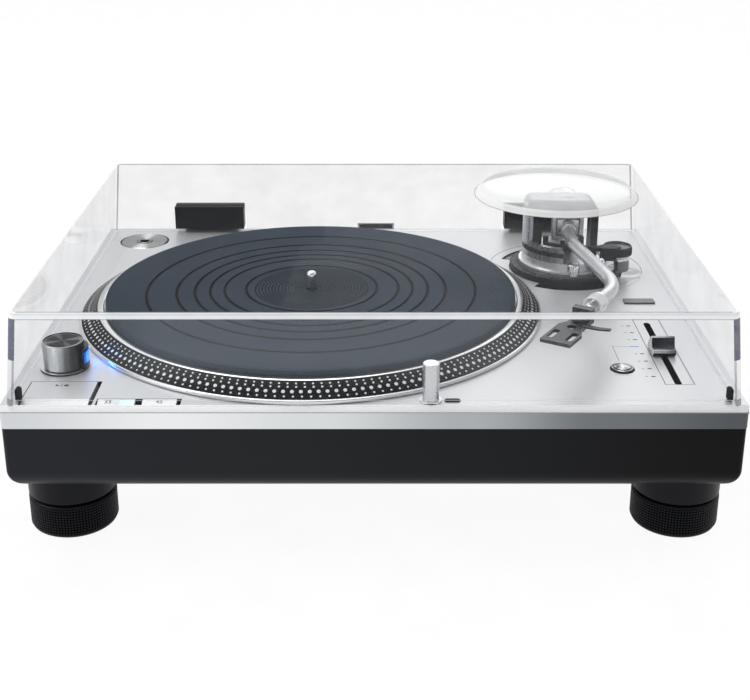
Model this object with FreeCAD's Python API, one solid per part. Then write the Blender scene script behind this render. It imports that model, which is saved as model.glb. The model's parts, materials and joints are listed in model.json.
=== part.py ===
import FreeCAD, Part
import math
import os

# A direct-drive record player under a closed clear cover. Millimetres.
# +X right, +Y back, +Z up; origin in the middle of the footprint on the table.
V = FreeCAD.Vector
os.makedirs("parts", exist_ok=True)

# ---- driving dimensions -------------------------------------------------
W = 453.0                 # overall width
YF, YB = -186.0, 166.0    # deck front and back faces
ZD = 103.0                # deck top above the table
DECK_T = 14.2             # deck thickness at the front face
CH_Y, CH_Z = 4.0, 3.5     # front chamfer
CAB_Z = 45.4              # underside of the cabinet
WALL = 4.0
CX, CY = -45.0, -18.2     # platter centre
PX, PY = 150.5, 67.0      # tonearm pivot (213 mm from the platter centre)
ZA = ZD + 35.0            # tonearm axis height
R_PLATTER = 164.7
R_MAT = 146.2
MAT_Z0, MAT_Z1 = 10.7, 14.6
SPINDLE_R = 3.58
SHAFT_R = 3.1             # the spindle below the record
DIAL_X, DIAL_Y, DIAL_R = -199.6, -125.8, 13.4
ADX, ADY = -191.9, 131.8  # 45 adapter
FADER_X, FADER_Y, FADER_L = 190.8, -101.5, 103.0
RESET_X, RESET_Y = 159.8, -128.7
LIGHT_X, LIGHT_Y = 34.5, -175.6
REL_X, REL_Y = 47.6, -176.3
FOOT_X, FOOT_YF, FOOT_YR, FOOT_R = 198.1, -138.6, 118.6, 28.3
COV_B, COV_T = 221.8, 216.5      # cover half width at the bottom and top
COV_YF, COV_YB, COV_Z1 = -186.0, 160.2, 59.8
COV_DRAFT = 4.0           # how far the front wall leans back over its height
COV_W, COV_WF = 3.3, 2.5  # wall thickness, and that of the front wall
DOME_X, DOME_Y, DOME_R, DOME_H = 140.3, 66.5, 62.4, 10.2
HINGE_Y, HINGE_Z, HINGE_X = 174.0, ZD + 6.0, 139.9
FIT = 0.06                # radial clearance of running fits
GAP = 0.3
A0 = -4.0                 # heading of the first straight of the arm tube
OFFSET = 31.4             # heading of the headshell at rest
SX, SY = 111.2, -158.7    # stylus point at rest


def cyl(x, y, z0, z1, r):
    return Part.makeCylinder(r, z1 - z0, V(x, y, z0))


def dcyl(x, y, z0, z1, r):
    return cyl(x, y, ZD + z0, ZD + z1, r)


def ring(x, y, z0, z1, ro, ri):
    return cyl(x, y, z0, z1, ro).cut(cyl(x, y, z0 - 1, z1 + 1, ri))


def dring(x, y, z0, z1, ro, ri):
    return ring(x, y, ZD + z0, ZD + z1, ro, ri)


def cone(x, y, z0, z1, r0, r1):
    return Part.makeCone(r0, r1, z1 - z0, V(x, y, z0))


def box(x0, x1, y0, y1, z0, z1):
    return Part.makeBox(x1 - x0, y1 - y0, z1 - z0, V(x0, y0, z0))


def dbox(x0, x1, y0, y1, z0, z1):
    return box(x0, x1, y0, y1, ZD + z0, ZD + z1)


def vertical_edges(shape):
    out = []
    for e in shape.Edges:
        if len(e.Vertexes) == 2:
            a, b = e.Vertexes[0].Point, e.Vertexes[1].Point
            if abs(a.x - b.x) < 1e-6 and abs(a.y - b.y) < 1e-6:
                out.append(e)
    return out


def rbox(x0, x1, y0, y1, z0, z1, r):
    b = box(x0, x1, y0, y1, z0, z1)
    return b.makeFillet(r, vertical_edges(b))


def drbox(x0, x1, y0, y1, z0, z1, r):
    return rbox(x0, x1, y0, y1, ZD + z0, ZD + z1, r)


def revolve(pts, x, y):
    w = Part.makePolygon([V(r, 0, z) for r, z in pts] + [V(pts[0][0], 0, pts[0][1])])
    s = Part.Face(w).revolve(V(0, 0, 0), V(0, 0, 1), 360)
    s = Part.makeSolid(s.Shells[0]) if s.ShapeType != "Solid" else s
    s.translate(V(x, y, 0))
    return s


def prism(pts, z0, z1):
    f = Part.Face(Part.makePolygon([V(x, y, z0) for x, y in pts] + [V(pts[0][0], pts[0][1], z0)]))
    return f.extrude(V(0, 0, z1 - z0))


def yz_prism(pts, x0, x1):
    f = Part.Face(Part.makePolygon([V(x0, y, z) for y, z in pts] + [V(x0, pts[0][0], pts[0][1])]))
    return f.extrude(V(x1 - x0, 0, 0))


def rod(a, b, r):
    d = b.sub(a)
    return Part.makeCylinder(r, d.Length, a, d)


def save(name, *shapes):
    solids = []
    for s in shapes:
        s = s.removeSplitter() if hasattr(s, "removeSplitter") else s
        solids += s.Solids
    for s in solids:
        if not s.isValid() or s.Volume <= 0:
            print("BAD", name, s.isValid(), round(s.Volume, 2))
    shape = solids[0] if len(solids) == 1 else Part.makeCompound(solids)
    shape.exportStep("parts/%s.step" % name)
    print(name, len(solids), round(sum(s.Volume for s in solids) / 1000.0, 2))


def arm(shape):
    # from the arm's own frame (pivot at 0,0, rear along +Y) to its place
    s = shape.copy()
    s.rotate(V(0, 0, 0), V(0, 0, 1), A0)
    s.translate(V(PX, PY, 0))
    return s


def shell_frame(shape):
    # from the headshell's frame (stylus at 0,0, rear along +Y) to its place
    s = shape.copy()
    s.rotate(V(0, 0, 0), V(0, 0, 1), -OFFSET)
    s.translate(V(SX, SY, 0))
    return s


# ---- deck ---------------------------------------------------------------
deck = yz_prism([(YF, ZD - DECK_T), (YF, ZD - CH_Z), (YF + CH_Y, ZD), (YB, ZD), (YB, ZD - DECK_T)], -W / 2, W / 2)
deck = deck.makeFillet(3.0, vertical_edges(deck))
KEY_X0, KEY_X1, KEY_YF, KEY_YM, KEY_YB = -215.3, -173.8, -181.7, -173.6, -148.3
holes = [
    dcyl(CX, CY, -20, 1, 82.0),                                   # motor well
    dcyl(PX, PY, -20, 1, 59.5),                                   # arm base
    dcyl(ADX, ADY, -10.2, 1, 20.2),                               # adapter recess
    dcyl(DIAL_X, DIAL_Y, -20, 1, 4.1),                            # dial shaft
    dcyl(RESET_X, RESET_Y, -20, 1, 8.0),
    dcyl(LIGHT_X, LIGHT_Y, -20, 1, 6.5),
    drbox(FADER_X - 2.2, FADER_X + 2.2, FADER_Y - FADER_L / 2, FADER_Y + FADER_L / 2, -20, 1, 2.1),
    drbox(REL_X - 5.0, REL_X + 5.0, REL_Y - 2.0, REL_Y + 2.0, -20, 1, 1.9),
    dbox(KEY_X0 - GAP, KEY_X1 + 2.8, KEY_YF - GAP, KEY_YB + GAP, -9.0, 1),
    dbox(-169.0, -117.4, KEY_YF - GAP, KEY_YM + GAP, -9.0, 1),
    # openings under the keys for their plungers
    dcyl(-194.5, -162.0, -20, -8, 4.0), dcyl(-157.1, -177.6, -20, -8, 2.4), dcyl(-130.8, -177.6, -20, -8, 2.4),
]
for hcut in holes:
    deck = deck.cut(hcut)
save("top_panel", deck)

# ---- cabinet ------------------------------------------------------------
cab = box(-226.3, 226.3, YF + 0.3, YB - 0.5, CAB_Z, ZD - DECK_T)
cab = cab.makeFillet(14.0, [e for e in cab.Edges if all(abs(v.Point.z - CAB_Z) < 1e-4 for v in e.Vertexes)])
corner_edges = []
for e in cab.Edges:
    if len(e.Vertexes) == 2:
        q0, q1 = e.Vertexes[0].Point, e.Vertexes[1].Point
        dx, dy, dz = abs(q0.x - q1.x), abs(q0.y - q1.y), abs(q0.z - q1.z)
        if (dx < 1e-6 and dy < 1e-6 and dz > 5) or (abs(dx - 14) < 0.01 and abs(dy - 14) < 0.01):
            corner_edges.append(e)
cab = cab.makeFillet(3.2, corner_edges)
cab_outer = cab
cabinet = cab_outer.cut(box(-222.0, 222.0, YF + 4.5, YB - 4.5, 53.0, ZD))
cabinet = cabinet.cut(box(-205.0, 205.0, -165.0, 145.0, CAB_Z - 5, 60))
cabinet = cabinet.cut(box(55.0, 101.0, YB - 10, YB + 5, 60.0, 80.0))       # phono terminals
cabinet = cabinet.cut(box(-93.0, -63.0, YB - 10, YB + 5, 60.0, 80.0))      # mains inlet
base = rbox(-217.0, 217.0, -176.0, 156.0, 53.1, 57.0, 6.0)
FEET = [("front_left", -FOOT_X, FOOT_YF), ("front_right", FOOT_X, FOOT_YF), ("rear_left", -FOOT_X, FOOT_YR), ("rear_right", FOOT_X, FOOT_YR)]
for _, fx, fy in FEET:
    base = base.cut(cyl(fx, fy, 40, 60, 12.5))
SCREWS_B = [(-120, -168.5), (120, -168.5), (-120, 149), (120, 149), (-210, -30), (210, -30)]
for sx, sy in SCREWS_B:
    base = base.cut(cyl(sx, sy, 40, 60, 1.6))
save("bottom_cover", base)
necks = []
for _, fx, fy in FEET:
    n = cone(fx, fy, 24.9, 56.0, 28.2, 28.4).cut(cab_outer).cut(cyl(fx, fy, 20, 27.4, 20.6))
    n = n.common(box(-300, 300, -300, 300, 20, 55.9))
    n = n.cut(cyl(fx, fy, 20, 60, 4.4))
    n = n.fuse(ring(fx, fy, CAB_Z - 0.1, 60.0, 12.0, 4.4))
    necks.append(n)
cab2 = cabinet
for _, fx, fy in FEET:
    cab2 = cab2.cut(cyl(fx, fy, 40, 60, 12.05))
save("cabinet", cab2)
save("foot_necks", *necks)
for name, fx, fy in FEET:
    stud = cyl(fx, fy, 8.0, 52.0, 4.0)
    stud = stud.fuse(cyl(fx, fy, 5.5, 8.0, 7.0))
    save("foot_stud_" + name, stud)
    foot = revolve([(0, 0), (25.5, 0), (27.6, 0.8), (FOOT_R, 2.6), (FOOT_R, 21.4), (27.2, 22.6), (20.0, 23.0), (20.0, 26.6), (0, 26.6)], fx, fy)
    foot = foot.cut(cyl(fx, fy, 5.4, 30, 4.0 + FIT)).cut(cyl(fx, fy, 5.4, 8.06, 7.0 + FIT))
    save("foot_" + name, foot)

# ---- hinges at the back -------------------------------------------------
brackets = []
for s in (-1, 1):
    hx = s * HINGE_X
    b = box(hx - 24, hx + 24, YB + 0.0, 186.0, 62.0, 97.0)
    for c in (-1, 1):
        x0, x1 = sorted((hx + c * 15.6, hx + c * 23.0))
        cheek = box(x0, x1, 168.0, 180.0, 96.0, HINGE_Z)
        cheek = cheek.fuse(Part.makeCylinder(6.0, x1 - x0, V(x0, HINGE_Y, HINGE_Z), V(1, 0, 0)))
        b = b.fuse(cheek)
    b = b.fuse(Part.makeCylinder(2.0, 46.0, V(hx - 23.0, HINGE_Y, HINGE_Z), V(1, 0, 0)))
    brackets.append(b)
save("hinge_brackets", *brackets)

# ---- dust cover ---------------------------------------------------------


def cover_block(inset, front, z0, z1, rear=None):
    t0 = (z0 - 0.4) / (COV_Z1 - 0.4)
    t1 = (z1 - 0.4) / (COV_Z1 - 0.4)
    wires = []
    for t, z in ((t0, z0), (t1, z1)):
        hx = COV_B + (COV_T - COV_B) * t - inset
        y0 = COV_YF + COV_DRAFT * t + front
        y1 = COV_YB - 1.0 * t - (inset if rear is None else rear)
        wires.append(Part.makePolygon([V(-hx, y0, ZD + z), V(hx, y0, ZD + z), V(hx, y1, ZD + z), V(-hx, y1, ZD + z), V(-hx, y0, ZD + z)]))
    return Part.makeLoft(wires, True, True)


outer = cover_block(0.0, 0.0, 0.4, COV_Z1)
inner = cover_block(COV_W, COV_WF, 0.3, COV_Z1 - COV_W)
H0 = COV_Z1
dome_out = revolve([(0, ZD + H0 - 1.0), (DOME_R, ZD + H0 - 1.0), (DOME_R, ZD + H0), (DOME_R - 3.5, ZD + H0 + 4.6), (DOME_R - 9.0, ZD + H0 + 7.6), (DOME_R - 26, ZD + H0 + 9.6), (0, ZD + H0 + DOME_H)], DOME_X, DOME_Y)
dome_in = revolve([(0, ZD + H0 - COV_W - 0.5), (DOME_R - 3.3, ZD + H0 - COV_W - 0.5), (DOME_R - 3.3, ZD + H0 - 1.0), (DOME_R - 6.5, ZD + H0 + 2.4), (DOME_R - 11, ZD + H0 + 4.7), (DOME_R - 27, ZD + H0 + 6.6), (0, ZD + H0 + DOME_H - 3.0)], DOME_X, DOME_Y)
cover = outer.fuse(dome_out).cut(inner).cut(dome_in)
CUT_H = 20.0
for s in (-1, 1):
    hx = s * HINGE_X
    cover = cover.cut(dbox(hx - 31.0, hx + 31.0, 150.0, 170.0, -5.0, CUT_H))
# the moulding is stored as its flat walls, its top plate and its dome, so that each has its own collision shape
TOP_Z = COV_Z1 - COV_W
walls = cover.common(dbox(-300, 300, -300, 300, -6.0, TOP_Z))
behind_front = cover_block(-5.0, COV_WF, 0.3, TOP_Z + 1.0)
before_rear = cover_block(-5.0, -20.0, 0.3, TOP_Z + 1.0, COV_W)
front_wall = walls.cut(behind_front)
rear_wall = walls.common(behind_front).cut(before_rear)
side_walls = walls.common(behind_front).common(before_rear)
roof = cover.common(dbox(-300, 300, -300, 300, TOP_Z, 90.0))
dome_zone = dcyl(DOME_X, DOME_Y, TOP_Z - 1.0, 90.0, DOME_R)
shell = [front_wall, rear_wall, side_walls, roof.cut(dome_zone), roof.common(dome_zone)]
save("dust_cover", *[x for p in shell for x in p.Solids])
blocks = []
for s in (-1, 1):
    hx = s * HINGE_X
    b = dbox(hx - 29.2, hx + 29.2, 153.4, 166.4, 3.6, 23.3)
    b = b.cut(dbox(hx - 40, hx + 40, 156.0, 160.6, CUT_H - 0.2, 30.0))
    tongue = box(hx - 15.0, hx + 15.0, 164.0, HINGE_Y, HINGE_Z - 5.0, HINGE_Z + 6.0)
    tongue = tongue.fuse(Part.makeCylinder(6.0, 30.0, V(hx - 15.0, HINGE_Y, HINGE_Z), V(1, 0, 0)))
    b = b.fuse(tongue)
    b = b.cut(Part.makeCylinder(2.0 + FIT, 60.0, V(hx - 30.0, HINGE_Y, HINGE_Z), V(1, 0, 0)))
    blocks.append(b)
save("cover_hinge_blocks", *blocks)
bumps = []
for s in (-1, 1):
    for y0, y1 in ((-178.6, -172.0),):
        x0, x1 = sorted((s * 218.1, s * 213.9))
        bumps.append(dbox(x0, x1, y0, y1, 0.1, 8.5).cut(cover))
save("cover_bumpers", *bumps)

# ---- platter ------------------------------------------------------------
Z = ZD
plat = revolve([
    (20.0, Z + 5.0), (140.0, Z + 5.0), (147.0, Z + 1.2), (158.0, Z + 0.4), (R_PLATTER, Z + 0.4), (R_PLATTER, Z + 2.4), (164.2, Z + 2.9), (163.3, Z + 3.0),
    (151.8, Z + 10.7), (151.0, Z + 11.1), (147.9, Z + 11.1), (147.2, Z + 10.6), (SHAFT_R, Z + 10.6), (SHAFT_R, Z - 3.0), (20.0, Z - 3.0)], CX, CY)
hub = revolve([(20.0, Z - 3.0), (76.0, Z - 3.0), (76.0, Z + 0.0), (24.0, Z + 0.0), (24.0, Z + 5.1), (20.0, Z + 5.1)], CX, CY)
plat = plat.fuse(hub)
save("platter", plat)
save("rotor_magnet", dring(CX, CY, -10.5, -3.0, 74.0, 58.0))
spindle = dcyl(CX, CY, -41.0, 14.8, SHAFT_R).fuse(dcyl(CX, CY, 14.8, 25.6, SPINDLE_R)).fuse(Part.makeCone(SPINDLE_R, 2.2, 1.4, V(CX, CY, ZD + 25.6)))
spindle = spindle.fuse(Part.makeCone(2.2, 0.9, 0.6, V(CX, CY, ZD + 27.0)))
save("spindle", spindle)
mat = revolve([(4.2, Z + MAT_Z0), (R_MAT - 0.8, Z + MAT_Z0), (R_MAT, Z + MAT_Z0 + 0.8), (R_MAT, Z + MAT_Z1 - 0.8), (R_MAT - 0.8, Z + MAT_Z1), (4.2, Z + MAT_Z1)], CX, CY)
save("rubber_mat", mat)

# ---- motor --------------------------------------------------------------
motor_plate = ring(CX, CY, ZD - 30.0, ZD - 26.0, 81.0, 9.0).fuse(ring(CX, CY, ZD - 26.0, ZD - 16.0, 81.0, 77.5))
coils = []
for i in range(9):
    a = math.radians(40 * i)
    coils.append(ring(CX + 62 * math.cos(a), CY + 62 * math.sin(a), ZD - 24.2, ZD - 14.0, 12.0, 5.0))
save("stator_coils", *coils)
bearing = dring(CX, CY, -41.3, -5.0, 9.0, SHAFT_R + FIT).fuse(dcyl(CX, CY, -44.5, -41.2, 9.0))
save("bearing_housing", bearing)
mboard = dring(CX, CY, -26.0, -24.4, 76.0, 12.0)
board = box(-205.0, -135.0, -60.0, 110.0, 62.0, 63.6)
board = board.fuse(box(-195, -170, -40, -15, 63.6, 75)).fuse(box(-165, -145, 20, 60, 63.6, 70)).fuse(box(-198, -180, 60, 95, 63.6, 80))
pboard = box(-120.0, -40.0, 82.0, 140.0, 62.0, 63.6)
pboard = pboard.fuse(box(-112, -84, 92, 120, 63.6, 82)).fuse(cyl(-62, 102, 63.6, 80, 8)).fuse(cyl(-62, 124, 63.6, 78, 6))
save("circuit_boards", board, pboard, mboard)
fader_body = (dbox(181.0, 203.0, FADER_Y - 60, FADER_Y + 60, -31.0, -16.0).cut(dbox(FADER_X - 3.2, FADER_X + 3.2, FADER_Y - 54, FADER_Y + 54, -28.0, -10.0)))
save("deck_switches_and_fader", fader_body,
     dbox(-200.5, -188.5, -168.0, -156.0, -26.0, -18.0), dbox(-161.1, -153.1, -181.0, -173.5, -26.0, -18.0), dbox(-134.8, -126.8, -181.0, -173.5, -26.0, -18.0),
     dbox(RESET_X - 6, RESET_X + 6, RESET_Y - 6, RESET_Y + 6, -27.0, -17.0), dbox(REL_X - 4, REL_X + 4, REL_Y - 4, REL_Y + 4, -26.0, -18.0),
     dcyl(DIAL_X, DIAL_Y, -30.0, -17.0, 9.0))
save("rear_terminal_panel", box(55.5, 100.5, YB - 6.0, YB - 4.0, 60.5, 79.5).cut(Part.makeCylinder(4.5, 20, V(66, YB - 10, 70), V(0, 1, 0))).cut(Part.makeCylinder(4.5, 20, V(80, YB - 10, 70), V(0, 1, 0))))
jacks = []
for jx in (66.0, 80.0):
    j = Part.makeCylinder(4.15, 10.0, V(jx, YB - 2.0, 70.0), V(0, 1, 0)).fuse(Part.makeCylinder(3.9, 10.2, V(jx, YB - 12.0, 70.0), V(0, 1, 0)))
    j = j.fuse(Part.makeCylinder(5.6, 1.3, V(jx, YB - 3.8, 70.0), V(0, 1, 0))).cut(Part.makeCylinder(1.6, 12.0, V(jx, YB - 2.0, 70.0), V(0, 1, 0)))
    jacks.append(j)
post = Part.makeCylinder(1.8, 12.0, V(93.0, YB - 4.0, 70.0), V(0, 1, 0)).fuse(Part.makeCylinder(4.2, 5.0, V(93.0, YB + 1.0, 70.0), V(0, 1, 0)))
save("phono_terminals", *(jacks + [post]))
inlet = box(-92.7, -63.3, YB - 22.0, YB + 0.3, 60.3, 79.7).cut(box(-89.5, -66.5, YB - 18.0, YB + 5, 64.0, 76.0))
for px_, pz_ in ((-84.0, 72.0), (-72.0, 72.0), (-78.0, 67.5)):
    inlet = inlet.fuse(box(px_ - 1.0, px_ + 1.0, YB - 19.0, YB - 5.0, pz_ - 1.6, pz_ + 1.6))
save("mains_inlet", inlet)
screws = []
for sx, sy in SCREWS_B:
    screws.append(cyl(sx, sy, 53.2, 62.0, 1.5).fuse(cyl(sx, sy, 57.0, 59.2, 3.2)))
save("bottom_screws", *screws)

# ---- controls on the deck ----------------------------------------------
PLUNGE = -17.7
key = yz_prism([(KEY_YF, ZD - 6.0), (KEY_YF, ZD - 2.2), (KEY_YM, ZD + 0.0), (KEY_YB, ZD + 0.0), (KEY_YB, ZD - 6.0)], KEY_X0, KEY_X1)
key = key.fuse(dcyl(-194.5, -162.0, -16.5, -5.5, 3.5))
save("start_stop_key", key)
for nm, x0, x1, kx in (("speed_key_33", -168.6, -145.7, -157.1), ("speed_key_45", -141.3, -120.3, -130.8)):
    k = yz_prism([(KEY_YF, ZD - 6.0), (KEY_YF, ZD - 2.2), (KEY_YM, ZD - 0.1), (KEY_YM, ZD - 6.0)], x0, x1)
    k = k.fuse(dcyl(kx, -177.6, -16.5, -5.5, 2.0))
    if nm.endswith("33"):
        led = dbox(-155.4, x1 - 0.6, KEY_YM - 6.0, KEY_YM - 0.6, -2.4, 1.0).common(k)
        k = k.cut(led)
        save("speed_key_lamp", led)
    save(nm, k)
reset = revolve([(0, ZD - 15.8), (3.0, ZD - 15.8), (3.0, ZD - 5.0), (7.45, ZD - 5.0), (7.45, ZD + 0.7), (6.9, ZD + 1.3), (4.6, ZD + 2.0), (2.2, ZD + 2.35), (0, ZD + 2.45)], RESET_X, RESET_Y)
save("reset_button", reset)
rel = drbox(REL_X - 4.7, REL_X + 4.7, REL_Y - 1.7, REL_Y + 1.7, -6.0, 0.9, 1.6)
rel = rel.fuse(dcyl(REL_X, REL_Y, -16.8, -5.5, 1.2))
save("target_light_release", rel)
knob = yz_prism([(-110.0, ZD + 0.7), (-110.8, ZD + 3.0), (-110.4, ZD + 4.8), (-108.8, ZD + 5.3), (-106.6, ZD + 5.0), (-105.0, ZD + 6.6), (-104.2, ZD + 9.0), (-103.8, ZD + 11.2), (-102.8, ZD + 11.9), (-101.2, ZD + 11.4), (-96.0, ZD + 7.2), (-93.2, ZD + 2.8), (-92.8, ZD + 0.7)], FADER_X - 7.6, FADER_X + 7.6)
stem = dbox(FADER_X - 1.4, FADER_X + 1.4, FADER_Y - 3.0, FADER_Y + 3.0, -24.0, 1.0)
save("pitch_knob", knob.fuse(stem))
sleeve = dring(LIGHT_X, LIGHT_Y, -22.0, 0.0, 6.4, 5.1 + FIT).fuse(dring(LIGHT_X, LIGHT_Y, 0.0, 1.2, 6.9, 5.1 + FIT))
save("target_light_sleeve", sleeve.cut(dbox(LIGHT_X - 20, LIGHT_X + 20, LIGHT_Y - 20, -181.1, -30, 5)))
light = dcyl(LIGHT_X, LIGHT_Y, -20.0, 24.6, 5.1).fuse(Part.makeCone(5.1, 4.7, 0.4, V(LIGHT_X, LIGHT_Y, ZD + 24.6)))
save("target_light", light)
dial = revolve([(0, ZD - 16.5), (3.0, ZD - 16.5), (3.0, ZD + 1.6), (12.9, ZD + 1.6), (DIAL_R, ZD + 17.9), (12.9, ZD + 18.8), (12.4, ZD + 19.0), (12.4, ZD + 18.6), (0, ZD + 18.6)], DIAL_X, DIAL_Y)
save("power_dial", dial)
ped = dring(DIAL_X, DIAL_Y, 0.0, 1.2, 15.4, 4.0)
sector = dring(DIAL_X, DIAL_Y, 1.2, 14.5, 15.9, 14.0)
wedge = prism([(DIAL_X, DIAL_Y), (DIAL_X + 40, DIAL_Y - 20), (DIAL_X + 40, DIAL_Y + 34)], ZD, ZD + 30)
save("strobe_housing", ped.fuse(sector.common(wedge)))
save("blank_plate", drbox(182.6, 205.0, -13.8, -4.8, 0.0, 1.1, 1.0))
badge_y = COV_YB - 1.0 * (5.3 / 59.4) - COV_W
save("rear_blank_plate", dbox(-14.0, 17.0, badge_y - 1.3, badge_y + 1.0, 2.4, 8.2).cut(cover))
adapter = revolve([(3.7, ZD - 9.8), (15.0, ZD - 9.8), (19.3, ZD - 6.0), (19.3, ZD - 0.3), (18.8, ZD + 0.4), (6.0, ZD + 0.4), (3.7, ZD - 0.6)], ADX, ADY)
save("adapter_45", adapter)

# ---- tonearm base -------------------------------------------------------
plate = dcyl(PX, PY, -4.0, -0.1, 59.2).cut(dcyl(PX, PY, -10, 5, 43.9))


def sector_cut(r0, r1, a0, a1, z0, z1):
    pts = [(PX, PY)]
    n = 10
    for i in range(n + 1):
        a = math.radians(a0 + (a1 - a0) * i / n)
        pts.append((PX + 90 * math.cos(a), PY + 90 * math.sin(a)))
    return dring(PX, PY, z0, z1, r1, r0).common(prism(pts, ZD + z0 - 1, ZD + z1 + 1))


plate = plate.cut(sector_cut(43.0, 52.5, 236, 304, -10, 5))
plate = plate.cut(sector_cut(43.0, 52.0, 128, 158, -1.6, 5))
plate = plate.cut(Part.makeSphere(24.0, V(PX + 47, PY - 14.0, ZD + 20.6)))
save("tonearm_base_plate", plate)
casting = dring(PX, PY, -13.5, -9.5, 59.2, 37.3).fuse(dring(PX, PY, -9.5, -4.05, 59.2, 53.0))
save("sub_chassis", motor_plate, casting)
height_ring = dring(PX, PY, -9.3, 3.9, 43.5, 36.8 + FIT)
height_ring = height_ring.fuse(revolve([(36.86, ZD + 3.9), (43.5, ZD + 3.9), (43.0, ZD + 4.6), (36.86, ZD + 4.6)], PX, PY))
save("height_ring", height_ring)
drum = dcyl(PX, PY, -24.0, 8.0, 36.8).fuse(dcyl(PX, PY, 8.0, 14.0, 34.5)).cut(dcyl(PX, PY, -30, -14, 30.0))
drum = drum.cut(dcyl(151.5, 33.2, 4.9, 20, 4.3 + GAP))
RAIL_R, RAIL_A = 25.0, 250.0
rx, ry = PX + RAIL_R * math.cos(math.radians(RAIL_A)), PY + RAIL_R * math.sin(math.radians(RAIL_A))
drum = drum.cut(dcyl(rx, ry, -12.0, 20, 3.0 + FIT))
save("arm_base_drum", drum)
save("height_lock", dcyl(151.5, 33.2, 5.2, 14.6, 4.3))

posts_l = prism([(PX - 40, PY - 15), (PX - 28.5, PY - 15), (PX - 20.5, PY - 8.5), (PX - 20.5, PY + 15), (PX - 40, PY + 15)], ZD + 14.0, ZD + 50.0).common(dcyl(PX, PY, 0, 80, 34.5))
left_wall = dring(PX, PY, 14.0, 26.0, 34.5, 30.5).common(prism([(PX, PY + 3), (PX - 60, PY + 60), (PX - 60, PY - 60), (PX - 12, PY - 60)], ZD, ZD + 60))
groove = dring(PX, PY, 18.6, 22.6, 36.0, 33.0)
post_r = dbox(PX + 16.5, PX + 22.0, PY - 12, PY + 6, 14.0, 50.0)
bridge = dbox(PX - 33.3, PX + 22.0, PY - 10.5, PY + 10.5, 46.4, 58.0)
tops = [e for e in bridge.Edges if all(abs(v.Point.z - (ZD + 58.0)) < 1e-4 for v in e.Vertexes) and abs(e.Vertexes[0].Point.x - e.Vertexes[1].Point.x) < 1e-4]
bridge = bridge.makeFillet(7.0, [e for e in tops if e.Vertexes[0].Point.x < PX])
tops = [e for e in bridge.Edges if len(e.Vertexes) == 2 and all(abs(v.Point.z - (ZD + 58.0)) < 1e-4 and abs(v.Point.x - (PX + 22.0)) < 1e-4 for v in e.Vertexes)]
bridge = bridge.makeFillet(11.0, tops)
yoke = posts_l.fuse(left_wall).cut(groove).fuse(post_r).fuse(bridge)
pin_t = dcyl(PX, PY, 43.2, 46.5, 1.5).fuse(dcyl(PX, PY, 58.0, 58.5, 3.6))
pin_b = dcyl(PX, PY, 14.0, 23.9, 5.0).fuse(dcyl(PX, PY, 23.9, 26.6, 1.5))
bias = dcyl(PX - 17.6, PY - 9.0, 14.0, 29.2, 2.2)
save("gimbal_yoke", yoke.fuse(pin_t), pin_b, bias)
bracket = prism([(PX + 24, PY + 4), (PX + 24, PY - 24), (PX + 20.5, PY - 33), (PX + 20.5, PY - 43), (PX + 31.5, PY - 43), (PX + 31.5, PY - 31), (PX + 44, PY - 26), (PX + 44, PY - 9)], ZD + 14.0, ZD + 16.2)
rest_post = dbox(PX + 20.5, PX + 31.5, PY - 43.0, PY - 33.5, 16.2, 29.9)
rest_leg = dbox(PX + 20.5, PX + 31.5, PY - 43.0, PY - 33.5, 5.4, 14.0)
cradle = dbox(PX - 8.5, PX + 20.6, PY - 41.0, PY - 35.0, 26.6, 29.8).fuse(dbox(PX + 3.4, PX + 6.6, PY - 41.0, PY - 35.0, 29.7, 38.0))
ears = dbox(PX + 29.0, PX + 31.5, PY - 50.5, PY - 43.0, 14.6, 22.0).fuse(Part.makeCylinder(1.2, 10.0, V(PX + 21.2, PY - 47.5, ZD + 18.2), V(1, 0, 0)))
save("arm_rest", rest_post.fuse(cradle).fuse(ears), rest_leg)
AKX, AKY = 187.0, 48.4
housing = dcyl(AKX, AKY, 5.2, 14.0, 9.6).cut(dcyl(PX, PY, 0, 20, 36.8))
ak_post = dcyl(AKX, AKY, 16.2, 17.4, 9.6).fuse(dcyl(AKX, AKY, 17.4, 21.5, 2.5))
save("anti_skate_bracket", bracket, housing, ak_post)
akd = revolve([(2.5 + FIT, ZD + 17.7), (11.2, ZD + 17.7), (11.3, ZD + 23.6), (10.7, ZD + 24.4), (9.0, ZD + 24.4), (7.6, ZD + 23.2), (2.0, ZD + 22.9), (0, ZD + 22.9), (0, ZD + 21.8), (2.5 + FIT, ZD + 21.8)], AKX, AKY)
save("anti_skate_dial", akd)
lever = Part.makeCylinder(4.0, 5.6, V(PX + 22.6, PY - 47.5, ZD + 18.2), V(1, 0, 0))
lever = lever.fuse(rod(V(PX + 24.4, PY - 49.5, ZD + 19.0), V(PX + 17.5, PY - 58.0, ZD + 24.6), 1.3))
lever = lever.fuse(Part.makeSphere(2.7, V(PX + 17.1, PY - 58.4, ZD + 24.9)))
lever = lever.cut(Part.makeCylinder(1.2 + FIT, 10.0, V(PX + 21.0, PY - 47.5, ZD + 18.2), V(1, 0, 0)))
save("cue_lever", lever)
rail_pts = [(PX, PY)]
for i in range(13):
    a = math.radians(222 + (286 - 222) * i / 12.0)
    rail_pts.append((PX + 60 * math.cos(a), PY + 60 * math.sin(a)))
rail = dring(PX, PY, 23.4, 26.6, RAIL_R + 1.6, RAIL_R - 1.6).common(prism(rail_pts, ZD, ZD + 60)).fuse(dcyl(rx, ry, -8.0, 23.5, 3.0))
save("cue_lift_rail", rail)

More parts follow.
